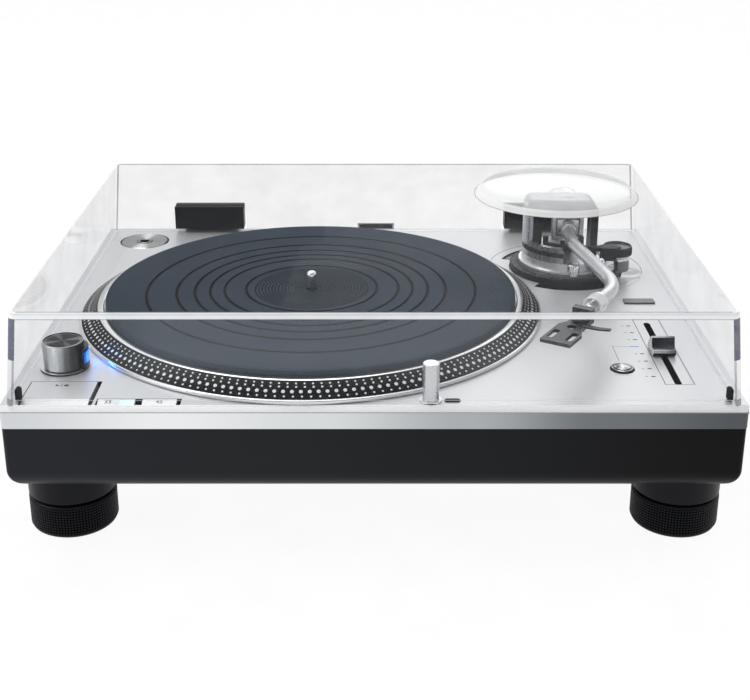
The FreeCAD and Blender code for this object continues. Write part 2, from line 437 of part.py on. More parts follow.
# ---- tonearm ------------------------------------------------------------
frame = box(-12, 12, -7, 7, ZD + 24.4, ZD + 45.6).cut(box(-9.0, 9.0, -10, 10, ZD + 27.4, ZD + 42.6))
frame = frame.cut(cyl(0, 0, ZD + 42.0, ZD + 50, 1.5 + FIT)).cut(cyl(0, 0, ZD + 20, ZD + 28, 1.5 + FIT))
frame = frame.cut(Part.makeCylinder(1.5 + FIT, 40, V(-20, 0, ZA), V(1, 0, 0)))
save("gimbal_frame", arm(frame))

block = box(-8.6, 8.6, -6, 6, ZA - 6.2, ZA + 6.2)
block = block.fuse(Part.makeCylinder(1.5, 22.6, V(-11.3, 0, ZA), V(1, 0, 0)))
shaft = Part.makeCylinder(4.0, 64.5, V(0, 5.5, ZA), V(0, 1, 0))
front_collar = Part.makeCylinder(6.0, 8.0, V(0, -13.5, ZA), V(0, 1, 0))
block = arm(block.fuse(shaft).fuse(front_collar))

d1 = (math.sin(math.radians(A0)), -math.cos(math.radians(A0)))
d2 = (math.sin(math.radians(OFFSET)), math.cos(math.radians(OFFSET)))     # from the stylus towards the rear
DIA = (154.9, -16.7, math.tan(math.radians(10.3)))                        # a point on the diagonal and its slope


def meet(p, d, q, e):
    det = d[0] * (-e[1]) + e[0] * d[1]
    bx, by = q[0] - p[0], q[1] - p[1]
    s = (bx * (-e[1]) + e[0] * by) / det
    return (p[0] + s * d[0], p[1] + s * d[1])


dd = (math.sin(math.radians(10.3)), -math.cos(math.radians(10.3)))
B1 = meet((PX, PY), d1, (DIA[0], DIA[1]), dd)
B2 = meet((SX, SY), d2, (DIA[0], DIA[1]), dd)
T0 = (PX + d1[0] * 12.0, PY + d1[1] * 12.0)
TE = (SX + d2[0] * 56.0, SY + d2[1] * 56.0)


def fillet_path(pts, radii, z):
    edges = []
    start = V(pts[0][0], pts[0][1], z)
    for i in range(1, len(pts) - 1):
        p = V(pts[i][0], pts[i][1], z)
        a = V(pts[i - 1][0], pts[i - 1][1], z).sub(p)
        b = V(pts[i + 1][0], pts[i + 1][1], z).sub(p)
        a.normalize()
        b.normalize()
        half = a.getAngle(b) / 2.0
        tl = radii[i - 1] / math.tan(half)
        pa, pb = p.add(V(a).multiply(tl)), p.add(V(b).multiply(tl))
        m = a.add(b)
        m.normalize()
        c = p.add(V(m).multiply(radii[i - 1] / math.sin(half)))
        mid = c.sub(V(m).multiply(radii[i - 1]))
        edges.append(Part.LineSegment(start, pa).toShape())
        edges.append(Part.Arc(pa, mid, pb).toShape())
        start = pb
    edges.append(Part.LineSegment(start, V(pts[-1][0], pts[-1][1], z)).toShape())
    return Part.Wire(edges)


def sweep(path, r):
    e = path.Edges[0]
    p = e.Vertexes[0].Point
    q = e.Vertexes[1].Point
    c = Part.Wire(Part.makeCircle(r, p, q.sub(p)))
    return path.makePipeShell([c], True, True)


path = fillet_path([T0, B1, B2, TE], [75.0, 55.0], ZA)
tube_o = sweep(path, 4.8)
tube_i = sweep(path, 3.9)
tube = tube_o.cut(tube_i)
d2v = V(d2[0], d2[1], 0)
TEv = V(TE[0], TE[1], ZA)
tube = tube.fuse(block)
tube = tube.cut(Part.makeCylinder(4.0 + FIT, 13.0, TEv.sub(V(d2v).multiply(1.0)), d2v))
save("arm_tube", tube)
print("tube", round(path.Length, 1), "mm, bends", [round(v, 1) for v in B1 + B2])

collar = Part.makeCylinder(7.1, 13.5, TEv.add(V(d2v).multiply(0.3)), d2v).cut(Part.makeCylinder(4.8 + FIT, 20, TEv.sub(V(d2v).multiply(2.0)), d2v))
save("headshell_collar", collar)

hs = prism([(-10, -1), (10, -1), (10, 17.5), (6.6, 25), (6.6, 45), (-6.6, 45), (-6.6, 34), (-10, 27)], ZA - 5.3, ZA - 2.7)
for n in (-6.35, 6.35):
    slot = rbox(n - 2.3, n + 2.3, 3.6, 18.0, ZA - 10, ZA, 1.7)
    hs = hs.cut(slot)
hs = hs.cut(cyl(-0.4, 26.3, ZA - 10, ZA, 3.4)).cut(cyl(0, 35.2, ZA - 10, ZA, 2.6))
hs = hs.fuse(box(-6.6, 6.6, 40.5, 46.0, ZA - 5.3, ZA + 5.0))
hs = hs.fuse(Part.makeCylinder(4.0, 21.5, V(0, 45.0, ZA), V(0, 1, 0)))
lift = prism([(6.0, 28.0), (12.0, 28.0), (17.0, 28.6), (23.0, 31.0), (23.0, 33.4), (16.4, 31.6), (12.0, 31.4), (6.0, 31.4)], ZA - 2.8, ZA - 1.4)
hs = hs.fuse(lift)
save("headshell", shell_frame(hs))

bush = Part.makeCylinder(9.0, 26.0, V(0, 32.0, ZA), V(0, 1, 0)).cut(Part.makeCylinder(4.0 + FIT, 40, V(0, 28, ZA), V(0, 1, 0)))
save("counterweight_bush", arm(bush))
wt = Part.makeCylinder(15.0, 18.5, V(0, 39.7, ZA), V(0, 1, 0)).cut(Part.makeCylinder(9.0 + FIT, 30, V(0, 35, ZA), V(0, 1, 0)))
save("counterweight", arm(wt))
fr = Part.makeCylinder(14.5, 6.4, V(0, 33.0, ZA), V(0, 1, 0)).cut(Part.makeCylinder(9.0 + FIT, 30, V(0, 30, ZA), V(0, 1, 0)))
save("stylus_force_ring", arm(fr))
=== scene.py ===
import json
import math
import bmesh
import bpy
from mathutils import Matrix, Vector

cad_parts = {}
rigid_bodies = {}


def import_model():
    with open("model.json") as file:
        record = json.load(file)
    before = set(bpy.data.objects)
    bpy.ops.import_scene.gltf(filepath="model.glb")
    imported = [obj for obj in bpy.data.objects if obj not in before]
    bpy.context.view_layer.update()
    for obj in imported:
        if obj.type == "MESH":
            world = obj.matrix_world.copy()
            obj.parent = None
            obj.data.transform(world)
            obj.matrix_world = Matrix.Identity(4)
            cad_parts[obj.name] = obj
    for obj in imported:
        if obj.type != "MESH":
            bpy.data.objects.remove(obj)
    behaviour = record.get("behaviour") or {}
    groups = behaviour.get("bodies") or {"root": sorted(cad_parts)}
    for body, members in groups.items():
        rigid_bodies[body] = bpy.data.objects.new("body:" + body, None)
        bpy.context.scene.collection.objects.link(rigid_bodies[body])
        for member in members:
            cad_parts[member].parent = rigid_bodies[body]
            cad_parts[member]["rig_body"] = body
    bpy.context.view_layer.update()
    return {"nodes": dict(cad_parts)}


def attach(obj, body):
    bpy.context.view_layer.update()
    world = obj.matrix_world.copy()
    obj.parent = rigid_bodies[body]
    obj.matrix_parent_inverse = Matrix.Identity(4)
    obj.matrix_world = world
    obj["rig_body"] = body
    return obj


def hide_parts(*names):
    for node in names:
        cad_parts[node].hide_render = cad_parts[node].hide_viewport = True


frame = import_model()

NODES = frame["nodes"]
MM = 0.001
ZD = 103.0                      # deck top above the table, mm
CX, CY = -45.0, -18.2           # platter centre
PX, PY, ZA = 150.5, 67.0, 138.0  # tonearm pivot and axis height
SX, SY = 111.2, -158.7          # stylus point
A0, OFF = math.radians(-4.0), math.radians(31.4)
REAR = Vector((-math.sin(A0), math.cos(A0), 0.0))
D2 = Vector((math.sin(OFF), math.cos(OFF), 0.0))
P = Vector((PX, PY, ZA))
S0 = Vector((SX, SY, ZA))
TE = S0 + D2 * 56.0


# ------------------------------------------------------------------ materials
def node(t, kind, **kw):
    n = t.nodes.new(kind)
    for k, v in kw.items():
        setattr(n, k, v)
    return n


def start(name):
    m = bpy.data.materials.new(name)
    m.use_nodes = True
    t = m.node_tree
    b = t.nodes["Principled BSDF"]
    return m, t, b


def coords(t, offset=(0, 0, 0), scale=(1, 1, 1), rot=(0, 0, 0)):
    tc = node(t, "ShaderNodeTexCoord")
    mp = node(t, "ShaderNodeMapping")
    mp.inputs["Location"].default_value = offset
    mp.inputs["Rotation"].default_value = rot
    mp.inputs["Scale"].default_value = scale
    t.links.new(tc.outputs["Object"], mp.inputs["Vector"])
    return mp.outputs["Vector"]


def noise(t, vec, scale, detail=3.0, rough=0.55):
    n = node(t, "ShaderNodeTexNoise")
    n.inputs["Scale"].default_value = scale
    n.inputs["Detail"].default_value = detail
    n.inputs["Roughness"].default_value = rough
    t.links.new(vec, n.inputs["Vector"])
    return n.outputs["Fac"]


def spread(t, fac, lo, hi, a=0.3, b=0.7):
    r = node(t, "ShaderNodeMapRange")
    r.inputs["From Min"].default_value = a
    r.inputs["From Max"].default_value = b
    r.inputs["To Min"].default_value = lo
    r.inputs["To Max"].default_value = hi
    t.links.new(fac, r.inputs["Value"])
    return r.outputs["Result"]


def two(t, fac, c0, c1, a=0.3, b=0.7):
    r = node(t, "ShaderNodeValToRGB")
    e = r.color_ramp.elements
    e[0].position, e[1].position = a, b
    e[0].color, e[1].color = (*c0, 1), (*c1, 1)
    t.links.new(fac, r.inputs["Fac"])
    return r.outputs["Color"]


def surf(name, base, rough, metal=0.0, var=0.06, scale=1500.0, rvar=0.06, bump=0.0, bscale=None,
         stretch=(1, 1, 1), coat=0.0, spec=0.5, blotch=60.0, aniso=0.0, rings=None, tint=None, painted_light_along_x=None):
    m, t, b = start(name)
    vec = coords(t, scale=stretch)
    fine = noise(t, vec, scale)
    big = noise(t, coords(t), blotch, 2.0)
    c0 = tuple(x * (1 - var) for x in base)
    c1 = tuple(min(1.0, x * (1 + var)) for x in (tint or base))
    mix = node(t, "ShaderNodeMath", operation="ADD")
    h1 = node(t, "ShaderNodeMath", operation="MULTIPLY")
    h2 = node(t, "ShaderNodeMath", operation="MULTIPLY")
    h1.inputs[1].default_value = 0.6
    h2.inputs[1].default_value = 0.4
    t.links.new(fine, h1.inputs[0])
    t.links.new(big, h2.inputs[0])
    t.links.new(h1.outputs[0], mix.inputs[0])
    t.links.new(h2.outputs[0], mix.inputs[1])
    colour = two(t, mix.outputs[0], c0, c1)
    if painted_light_along_x:
        # painted light and shade: the colour runs from one tone to another along X, standing in for reflections and
        # shading
        x0, x1, stops = painted_light_along_x
        sx = node(t, "ShaderNodeSeparateXYZ")
        t.links.new(coords(t), sx.inputs[0])
        mr = node(t, "ShaderNodeMapRange")
        mr.inputs["From Min"].default_value = x0
        mr.inputs["From Max"].default_value = x1
        t.links.new(sx.outputs["X"], mr.inputs["Value"])
        cr = node(t, "ShaderNodeValToRGB")
        cr.color_ramp.interpolation = "EASE"
        el = cr.color_ramp.elements
        for i, (pos, f) in enumerate(stops):
            e = el[i] if i < 2 else el.new(pos)
            e.position = pos
            e.color = (*[min(1.0, v / w) for v, w in zip(f, base)], 1)
        t.links.new(mr.outputs["Result"], cr.inputs["Fac"])
        mc = node(t, "ShaderNodeMix", data_type="RGBA")
        mc.blend_type = "MULTIPLY"
        mc.inputs["Factor"].default_value = 1.0
        t.links.new(cr.outputs["Color"], mc.inputs["A"])
        t.links.new(colour, mc.inputs["B"])
        colour = mc.outputs["Result"]
    t.links.new(colour, b.inputs["Base Color"])
    t.links.new(spread(t, fine, max(0.02, rough - rvar), min(1.0, rough + rvar)), b.inputs["Roughness"])
    b.inputs["Metallic"].default_value = metal
    b.inputs["Specular IOR Level"].default_value = spec
    b.inputs["Coat Weight"].default_value = coat
    if aniso:
        b.inputs["Anisotropic"].default_value = aniso
        tg = node(t, "ShaderNodeTangent", direction_type="RADIAL", axis="Z")
        t.links.new(tg.outputs["Tangent"], b.inputs["Tangent"])
    height = None
    if rings:
        # turning marks round a centre, in metres
        cx, cy, pitch, amount = rings
        w = node(t, "ShaderNodeTexWave", wave_type="RINGS", rings_direction="Z")
        w.inputs["Scale"].default_value = 0.314 / pitch
        w.inputs["Distortion"].default_value = 0.0
        t.links.new(coords(t, offset=(-cx, -cy, 0)), w.inputs["Vector"])
        height, bump = w.outputs["Fac"], bump or amount
    if bump:
        bp = node(t, "ShaderNodeBump")
        bp.inputs["Strength"].default_value = 0.5
        bp.inputs["Distance"].default_value = bump * MM
        if height is None:
            height = noise(t, vec, bscale or scale)
        t.links.new(height, bp.inputs["Height"])
        t.links.new(bp.outputs["Normal"], b.inputs["Normal"])
    return m


def clear(name, base, alpha, rough=0.08, var=0.25, edge=0.0, scale=40.0, spec=0.5, dark=0.97, painted_reflection_patch=None, gloss=0.0):
    """See-through plastic: alpha with a faint unevenness, and more of it where it is seen edge-on."""
    m, t, b = start(name)
    n = noise(t, coords(t), scale, 2.0)
    t.links.new(two(t, n, tuple(x * dark for x in base), base), b.inputs["Base Color"])
    a = spread(t, n, alpha * (1 - var), min(1.0, alpha * (1 + var)))
    if edge:
        lw = node(t, "ShaderNodeLayerWeight")
        lw.inputs["Blend"].default_value = 0.35
        pw = node(t, "ShaderNodeMath", operation="POWER")
        pw.inputs[1].default_value = 2.5
        t.links.new(lw.outputs["Facing"], pw.inputs[0])
        ml = node(t, "ShaderNodeMath", operation="MULTIPLY")
        ml.inputs[1].default_value = edge
        t.links.new(pw.outputs[0], ml.inputs[0])
        ad = node(t, "ShaderNodeMath", operation="ADD", use_clamp=True)
        t.links.new(a, ad.inputs[0])
        t.links.new(ml.outputs[0], ad.inputs[1])
        a = ad.outputs[0]
    if painted_reflection_patch:
        # painted reflection, a soft whitish patch in the middle of the wall: x from/to, x from/to, z from/to, amount
        sx = node(t, "ShaderNodeSeparateXYZ")
        t.links.new(coords(t), sx.inputs[0])
        parts = []
        for axis, f0, f1, t0, t1 in (("X", painted_reflection_patch[0], painted_reflection_patch[1], 0.0, 1.0), ("X", painted_reflection_patch[2], painted_reflection_patch[3], 1.0, 0.0), ("Z", painted_reflection_patch[4], painted_reflection_patch[5], 0.0, painted_reflection_patch[6])):
            mr = node(t, "ShaderNodeMapRange", interpolation_type="SMOOTHSTEP")
            mr.inputs["From Min"].default_value, mr.inputs["From Max"].default_value = f0, f1
            mr.inputs["To Min"].default_value, mr.inputs["To Max"].default_value = t0, t1
            t.links.new(sx.outputs[axis], mr.inputs["Value"])
            parts.append(mr.outputs["Result"])
        prod = parts[0]
        for q in parts[1:]:
            mu = node(t, "ShaderNodeMath", operation="MULTIPLY")
            t.links.new(prod, mu.inputs[0])
            t.links.new(q, mu.inputs[1])
            prod = mu.outputs[0]
        av = node(t, "ShaderNodeMath", operation="ADD", use_clamp=True)
        t.links.new(a, av.inputs[0])
        t.links.new(prod, av.inputs[1])
        a = av.outputs[0]
    t.links.new(a, b.inputs["Alpha"])
    t.links.new(spread(t, n, rough * 0.7, rough * 1.3), b.inputs["Roughness"])
    b.inputs["Specular IOR Level"].default_value = spec
    b.inputs["Metallic"].default_value = gloss
    return m


def conic_painted_highlight(name, centre, base, rough, metal, stops, spec=0.5, ring=0.0006, axis=None, bump=0.002):
    """A lathe-turned face: painted highlights, light wedges round its centre standing in for the reflections fine
    turning marks give, plus the marks themselves.
    """
    m, t, b = start(name)
    vec = coords(t, offset=(-centre[0] * MM, -centre[1] * MM, 0))
    g = node(t, "ShaderNodeTexGradient", gradient_type="RADIAL")
    t.links.new(vec, g.inputs["Vector"])
    cr = node(t, "ShaderNodeValToRGB")
    cr.color_ramp.interpolation = "EASE"
    el = cr.color_ramp.elements
    for i, (pos, f) in enumerate(stops):
        e = el[i] if i < 2 else el.new(pos)
        e.position = pos
        e.color = (*[min(1.0, f * v) for v in base], 1)
    t.links.new(g.outputs["Fac"], cr.inputs["Fac"])
    t.links.new(cr.outputs["Color"], b.inputs["Base Color"])
    t.links.new(spread(t, noise(t, vec, 900.0), max(0.02, rough - 0.04), rough + 0.04), b.inputs["Roughness"])
    b.inputs["Metallic"].default_value = metal
    b.inputs["Specular IOR Level"].default_value = spec
    w = node(t, "ShaderNodeTexWave", wave_type="RINGS", rings_direction="Z")
    w.inputs["Scale"].default_value = 0.314 / ring
    t.links.new(vec, w.inputs["Vector"])
    bp = node(t, "ShaderNodeBump")
    bp.inputs["Strength"].default_value = 0.4
    bp.inputs["Distance"].default_value = bump * MM
    t.links.new(w.outputs["Fac"], bp.inputs["Height"])
    t.links.new(bp.outputs["Normal"], b.inputs["Normal"])
    return m


def lamp(name, base, strength, scale=300.0):
    m, t, b = start(name)
    n = noise(t, coords(t), scale, 2.0)
    col = two(t, n, tuple(x * 0.8 for x in base), base)
    t.links.new(col, b.inputs["Base Color"])
    t.links.new(col, b.inputs["Emission Color"])
    b.inputs["Emission Strength"].default_value = strength
    t.links.new(spread(t, n, 0.25, 0.4), b.inputs["Roughness"])
    return m


M = {
    "deck": surf("deck_silver", (0.70, 0.715, 0.73), 0.38, 0.5, var=0.012, scale=2600.0, rvar=0.03, bump=0.003, blotch=9.0),
    # the deck's front face darkens from left to right: a painted reflection gradient
    "deck_side": surf("deck_front_silver", (0.88, 0.90, 0.92), 0.3, 0.8, var=0.01, scale=900.0, rvar=0.02, blotch=9.0, painted_light_along_x=(-0.226, 0.226, [(0.0, (0.66, 0.68, 0.70)), (1.0, (0.085, 0.095, 0.105)), (0.22, (0.86, 0.88, 0.89)), (0.42, (0.72, 0.745, 0.755)), (0.62, (0.42, 0.45, 0.465)), (0.8, (0.16, 0.178, 0.186))])),
    "deck_line": surf("deck_line_grey", (0.34, 0.35, 0.365), 0.4, 0.6, var=0.03),
    "plate_mid": surf("plate_grey", (0.16, 0.165, 0.175), 0.35, 0.6, var=0.06),
    "dish": surf("dish_satin", (0.52, 0.535, 0.55), 0.3, 0.9, var=0.03),
    # the rounded front lip is a brighter copy of the deck silver: a painted highlight
    "deck_lip": surf("deck_lip_painted_highlight", (0.96, 0.965, 0.97), 0.34, 0.3, var=0.01, scale=900.0, rvar=0.02, blotch=9.0),
    # near black for the pockets, holes, slot, recess walls and key sides: painted shade
    "pocket": surf("pocket_painted_shade", (0.005, 0.005, 0.006), 0.6, 0.0, bump=0.01, spec=0.12),
    # the cabinet's black darkens from left to right as painted shade
    "cabinet": surf("cabinet_black", (0.030, 0.032, 0.037), 0.42, 0.0, var=0.06, scale=1400.0, rvar=0.06, bump=0.02, blotch=14.0, spec=0.1, painted_light_along_x=(-0.226, 0.226, [(0.0, (0.020, 0.0215, 0.026)), (1.0, (0.0035, 0.0035, 0.0042)), (0.35, (0.018, 0.019, 0.0225)), (0.6, (0.013, 0.014, 0.0165))])),
    "black": surf("black_plastic", (0.006, 0.0065, 0.009), 0.38, 0.0, var=0.15, scale=1800.0, bump=0.02, spec=0.14),
    "black_gloss": surf("black_gloss", (0.005, 0.0055, 0.007), 0.16, 0.0, var=0.15, scale=900.0, rvar=0.05, spec=0.4),
    "rubber": surf("black_rubber", (0.006, 0.006, 0.007), 0.75, 0.0, var=0.2, scale=2200.0, bump=0.03, spec=0.12),
    "mat": surf("mat_rubber", (0.007, 0.020, 0.038), 0.6, 0.0, var=0.03, scale=1700.0, rvar=0.03, bump=0.003, blotch=11.0, spec=0.15),
    # the mat's grooves are darker than the mat: painted shade
    "groove": surf("mat_groove_painted_shade", (0.006, 0.0075, 0.009), 0.75, 0.0, var=0.15, scale=1700.0, bump=0.01, spec=0.1),
    "polish": surf("platter_polished", (0.80, 0.83, 0.86), 0.15, 1.0, var=0.02, scale=500.0, rvar=0.03, blotch=20.0, rings=(CX * MM, CY * MM, 0.0006, 0.0015)),
    "flange": surf("platter_flange", (0.74, 0.75, 0.77), 0.22, 1.0, var=0.04, scale=600.0, rvar=0.05, blotch=20.0, rings=(CX * MM, CY * MM, 0.0008, 0.003)),
    "bevel": surf("platter_bevel_black", (0.0021, 0.0024, 0.0031), 0.36, 0.0, var=0.2, scale=900.0, rvar=0.06, spec=0.05, rings=(CX * MM, CY * MM, 0.0007, 0.002)),
    "dots": surf("strobe_dot", (0.72, 0.74, 0.76), 0.3, 0.1, var=0.05, scale=900.0, rvar=0.05),
    "chrome": surf("chrome", (0.80, 0.815, 0.83), 0.08, 1.0, var=0.03, scale=400.0, rvar=0.03),
    "steel": surf("bright_steel", (0.72, 0.725, 0.735), 0.2, 1.0, var=0.06, scale=700.0, rvar=0.06, stretch=(1, 1, 0.1)),
    "satin": surf("silver_satin", (0.76, 0.77, 0.785), 0.3, 0.9, var=0.04, scale=1200.0, rvar=0.06, bump=0.001),
    "tube": surf("tube_satin", (0.58, 0.595, 0.615), 0.28, 0.9, var=0.03, scale=1500.0, rvar=0.05),
    "ygrey": surf("yoke_grey", (0.40, 0.42, 0.445), 0.26, 0.9, var=0.05, scale=900.0, rvar=0.05),
    "ydark": surf("yoke_dark_and_painted_shade", (0.012, 0.015, 0.024), 0.3, 0.3, var=0.12, scale=1100.0, bump=0.008, spec=0.3),
    # the pitch knob's top lightens and its lip darkens along X: painted shading and painted highlight
    "knob_face": surf("knob_face", (0.06, 0.065, 0.075), 0.28, 0.6, var=0.08, scale=900.0, rvar=0.05, spec=0.3, stretch=(0.1, 1, 1), painted_light_along_x=(0.1832, 0.1984, [(0.0, (0.018, 0.02, 0.024)), (1.0, (0.21, 0.22, 0.24)), (0.35, (0.03, 0.033, 0.04)), (0.75, (0.12, 0.125, 0.14))])),
    "knob_lip": surf("knob_lip", (0.72, 0.725, 0.735), 0.2, 0.9, var=0.05, scale=900.0, rvar=0.05, stretch=(0.1, 1, 1), painted_light_along_x=(0.1832, 0.1984, [(0.0, (0.74, 0.75, 0.77)), (1.0, (0.20, 0.21, 0.23)), (0.4, (0.6, 0.61, 0.63))])),
    "dark": surf("dark_metal", (0.030, 0.033, 0.039), 0.3, 0.5, var=0.1, scale=1100.0, rvar=0.06, bump=0.006, spec=0.25),
    "blackmetal": surf("black_metal", (0.007, 0.0075, 0.009), 0.3, 0.1, var=0.2, scale=1000.0, rvar=0.07, bump=0.006, spec=0.14),
    "grey": surf("grey_plastic", (0.20, 0.205, 0.21), 0.45, 0.0, var=0.08, scale=1500.0, bump=0.015),
    "print": surf("print_dark", (0.010, 0.011, 0.014), 0.6, 0.0, var=0.1, spec=0.1),
    "print_grey": surf("print_grey", (0.06, 0.064, 0.072), 0.55, 0.0, var=0.1, spec=0.1),
    "white": surf("white_print_and_painted_highlight", (0.75, 0.76, 0.77), 0.5, 0.0, var=0.06),
    "brass": surf("brass_turned", (0.76, 0.56, 0.25), 0.24, 1.0, var=0.08, scale=900.0, rvar=0.08),
    "gold": surf("gold_plated", (0.83, 0.62, 0.28), 0.16, 1.0, var=0.06, scale=900.0, rvar=0.05),
    "copper": surf("copper_winding", (0.66, 0.30, 0.14), 0.34, 0.9, var=0.18, scale=2500.0, stretch=(1, 1, 8), bump=0.05),
    "board": surf("board_green", (0.03, 0.16, 0.07), 0.35, 0.0, var=0.25, scale=700.0, coat=0.3, bump=0.02),
    "magnet": surf("magnet_ferrite", (0.06, 0.06, 0.065), 0.6, 0.1, var=0.15, scale=900.0, bump=0.03),
    "red": surf("red_insulator", (0.45, 0.02, 0.02), 0.35, 0.0, var=0.1),
    "lamp": lamp("key_lamp_blue", (0.42, 0.68, 1.0), 1.1),
    "glow": lamp("strobe_lens_blue", (0.03, 0.22, 1.0), 1.6),
    "glow_dim": lamp("strobe_lens_dim", (0.015, 0.09, 0.50), 0.8),
    "glow_side": lamp("strobe_lamp_blue", (0.04, 0.28, 1.0), 60.0),
    "bluemark": lamp("centre_mark_blue", (0.03, 0.08, 0.75), 0.35),
    # the dust cover: the top and inner faces are thin see-through gloss; the white edge strips, the glowing grey band,
    # the navy and dark corner strips, the grey lines, the whitish dome with its white lip, the grey line round it and
    # the front wall's patch are painted reflections and painted highlights standing in for light caught and bent by the
    # clear acrylic
    "c_top": clear("cover_top", (0.93, 0.95, 0.97), 0.018, rough=0.03, gloss=1.0),
    "c_front": clear("cover_front", (0.90, 0.96, 1.0), 0.012, rough=0.03, edge=0.05, painted_reflection_patch=(-0.185, -0.12, 0.07, 0.15, 0.112, 0.135, 0.085)),
    "c_wall": clear("cover_side", (0.45, 0.46, 0.52), 0.21, rough=0.02, edge=0.42, spec=0.9),
    "c_inner": clear("cover_inner", (0.9, 0.93, 0.95), 0.008, rough=0.03, gloss=1.0),
    "c_rear": clear("cover_rear", (0.50, 0.505, 0.56), 0.17, rough=0.03),
    "c_edge": clear("cover_edge_white", (0.98, 0.985, 0.99), 0.88, var=0.06),
    "c_band": clear("cover_band_grey", (0.93, 0.97, 1.0), 0.93, var=0.05),
    "c_rim": clear("cover_rim", (0.80, 0.82, 0.85), 0.34, var=0.03, rough=0.03),
    "c_navy": clear("cover_corner_navy", (0.05, 0.06, 0.17), 0.82, var=0.06, rough=0.35, spec=0.06, scale=110.0, dark=0.25),
    "c_dark": clear("cover_corner_dark", (0.08, 0.085, 0.12), 0.6, var=0.15, rough=0.3, spec=0.2),
    "c_dome": clear("cover_dome", (0.97, 0.98, 0.99), 0.44, var=0.1, edge=0.3),
    "c_lip": clear("cover_dome_lip", (1.0, 1.0, 1.0), 0.9, var=0.05),
    "c_soft": clear("cover_dome_foot", (0.42, 0.44, 0.48), 0.45, var=0.1, rough=0.3, spec=0.2),
    "c_line": clear("cover_line", (0.20, 0.22, 0.26), 0.55, var=0.1, rough=0.3, spec=0.2),
}

for shader in [x for x in M["c_band"].node_tree.nodes if x.type == "BSDF_PRINCIPLED"]:
    # painted light: the grey front band glows faintly, standing in for the light the moulded front edge carries along
    # itself
    shader.inputs["Emission Color"].default_value = (0.90, 0.95, 1.0, 1.0)
    shader.inputs["Emission Strength"].default_value = 0.13


# ------------------------------------------------------------------ mesh helpers (millimetres)
def orient(origin, zdir, xdir=None):
    z = Vector(zdir).normalized()
    x = Vector(xdir) if xdir is not None else (Vector((1, 0, 0)) if abs(z.x) < 0.9 else Vector((0, 1, 0)))
    x = (x - z * x.dot(z)).normalized()
    y = z.cross(x)
    return Matrix.Translation(Vector(origin)) @ Matrix((x, y, z)).transposed().to_4x4()


def at(x, y, z=0.0):
    return Matrix.Translation((x, y, z))


ARM = Matrix.Translation(P) @ Matrix.Rotation(A0, 4, "Z")          # local +Y is the arm's rear
SHELL = Matrix.Translation(S0) @ Matrix.Rotation(-OFF, 4, "Z")     # local +Y is the headshell's rear


def lathe(bm, prof, mtx, segs=96, mats=0, ribs=None):
    """prof: (radius, height[, rib depth]); mats: one index or one per step. A radius of 0 closes on the axis."""
    rows = []
    for i, p in enumerate(prof):
        r, z = p[0], p[1]
        d = p[2] if len(p) > 2 else 0.0
        if r <= 1e-9:
            rows.append([bm.verts.new(mtx @ Vector((0, 0, z)))])
            continue
        row = []
        for k in range(segs):
            a = 2 * math.pi * k / segs
            rr = r - (d if k % 2 else 0.0)
            row.append(bm.verts.new(mtx @ Vector((rr * math.cos(a), rr * math.sin(a), z))))
        rows.append(row)
    for i in range(len(rows) - 1):
        a, b = rows[i], rows[i + 1]
        mi = mats[i] if isinstance(mats, (list, tuple)) else mats
        for k in range(segs):
            k2 = (k + 1) % segs
            if len(a) == 1 and len(b) == 1:
                continue
            if len(a) == 1:
                f = bm.faces.new((a[0], b[k2], b[k]))
            elif len(b) == 1:
                f = bm.faces.new((a[k], a[k2], b[0]))
            else:
                f = bm.faces.new((a[k], a[k2], b[k2], b[k]))
            f.material_index = mi
    return rows


def closed(prof):
    return list(prof) + [prof[0]]


def rbox(bm, x0, x1, y0, y1, z0, z1, mtx=Matrix(), bev=0.4, seg=2, mat=0, bev_mat=None):
    vs = [bm.verts.new(mtx @ Vector((x, y, z))) for x in (x0, x1) for y in (y0, y1) for z in (z0, z1)]
    idx = ((0, 1, 3, 2), (4, 6, 7, 5), (0, 4, 5, 1), (2, 3, 7, 6), (0, 2, 6, 4), (1, 5, 7, 3))
    fs = [bm.faces.new([vs[i] for i in q]) for q in idx]
    for f in fs:
        f.material_index = mat
    if bev:
        es = list({e for f in fs for e in f.edges})
        bmesh.ops.bevel(bm, geom=es, offset=bev, segments=seg, profile=0.5, affect="EDGES", material=-1 if bev_mat is None else bev_mat)


def prism(bm, pts, z0, z1, mtx=Matrix(), bev=0.0, seg=2, mat=0, bev_mat=None, side=None):
    lo = [bm.verts.new(mtx @ Vector((x, y, z0))) for x, y in pts]
    hi = [bm.verts.new(mtx @ Vector((x, y, z1))) for x, y in pts]
    fs = [bm.faces.new(lo[::-1]), bm.faces.new(hi)]
    n = len(pts)
    for i in range(n):
        f = bm.faces.new((lo[i], lo[(i + 1) % n], hi[(i + 1) % n], hi[i]))
        fs.append(f)
    for i, f in enumerate(fs):
        f.material_index = mat
        if side is not None and i > 1:
            f.material_index = side
    if bev:
        es = [e for e in {e for f in fs for e in f.edges} if len(e.link_faces) == 2 and e.calc_face_angle(0) > 0.5]
        bmesh.ops.bevel(bm, geom=es, offset=bev, segments=seg, profile=0.5, affect="EDGES", material=-1 if bev_mat is None else bev_mat)
    return fs


def sweep(bm, pts, r, segs=40, mat=0):
    rows = []
    up = Vector((0, 0, 1))
    for i, p in enumerate(pts):
        a = pts[max(0, i - 1)]
        b = pts[min(len(pts) - 1, i + 1)]
        d = (b - a).normalized()
        s = d.cross(up).normalized()
        u = s.cross(d)
        rows.append([bm.verts.new(p + s * (r * math.cos(t)) + u * (r * math.sin(t))) for t in (2 * math.pi * k / segs for k in range(segs))])
    for a, b in zip(rows, rows[1:]):
        for k in range(segs):
            f = bm.faces.new((a[k], a[(k + 1) % segs], b[(k + 1) % segs], b[k]))
            f.material_index = mat
    for row in (rows[0], rows[-1]):
        bm.faces.new(row).material_index = mat
    return rows


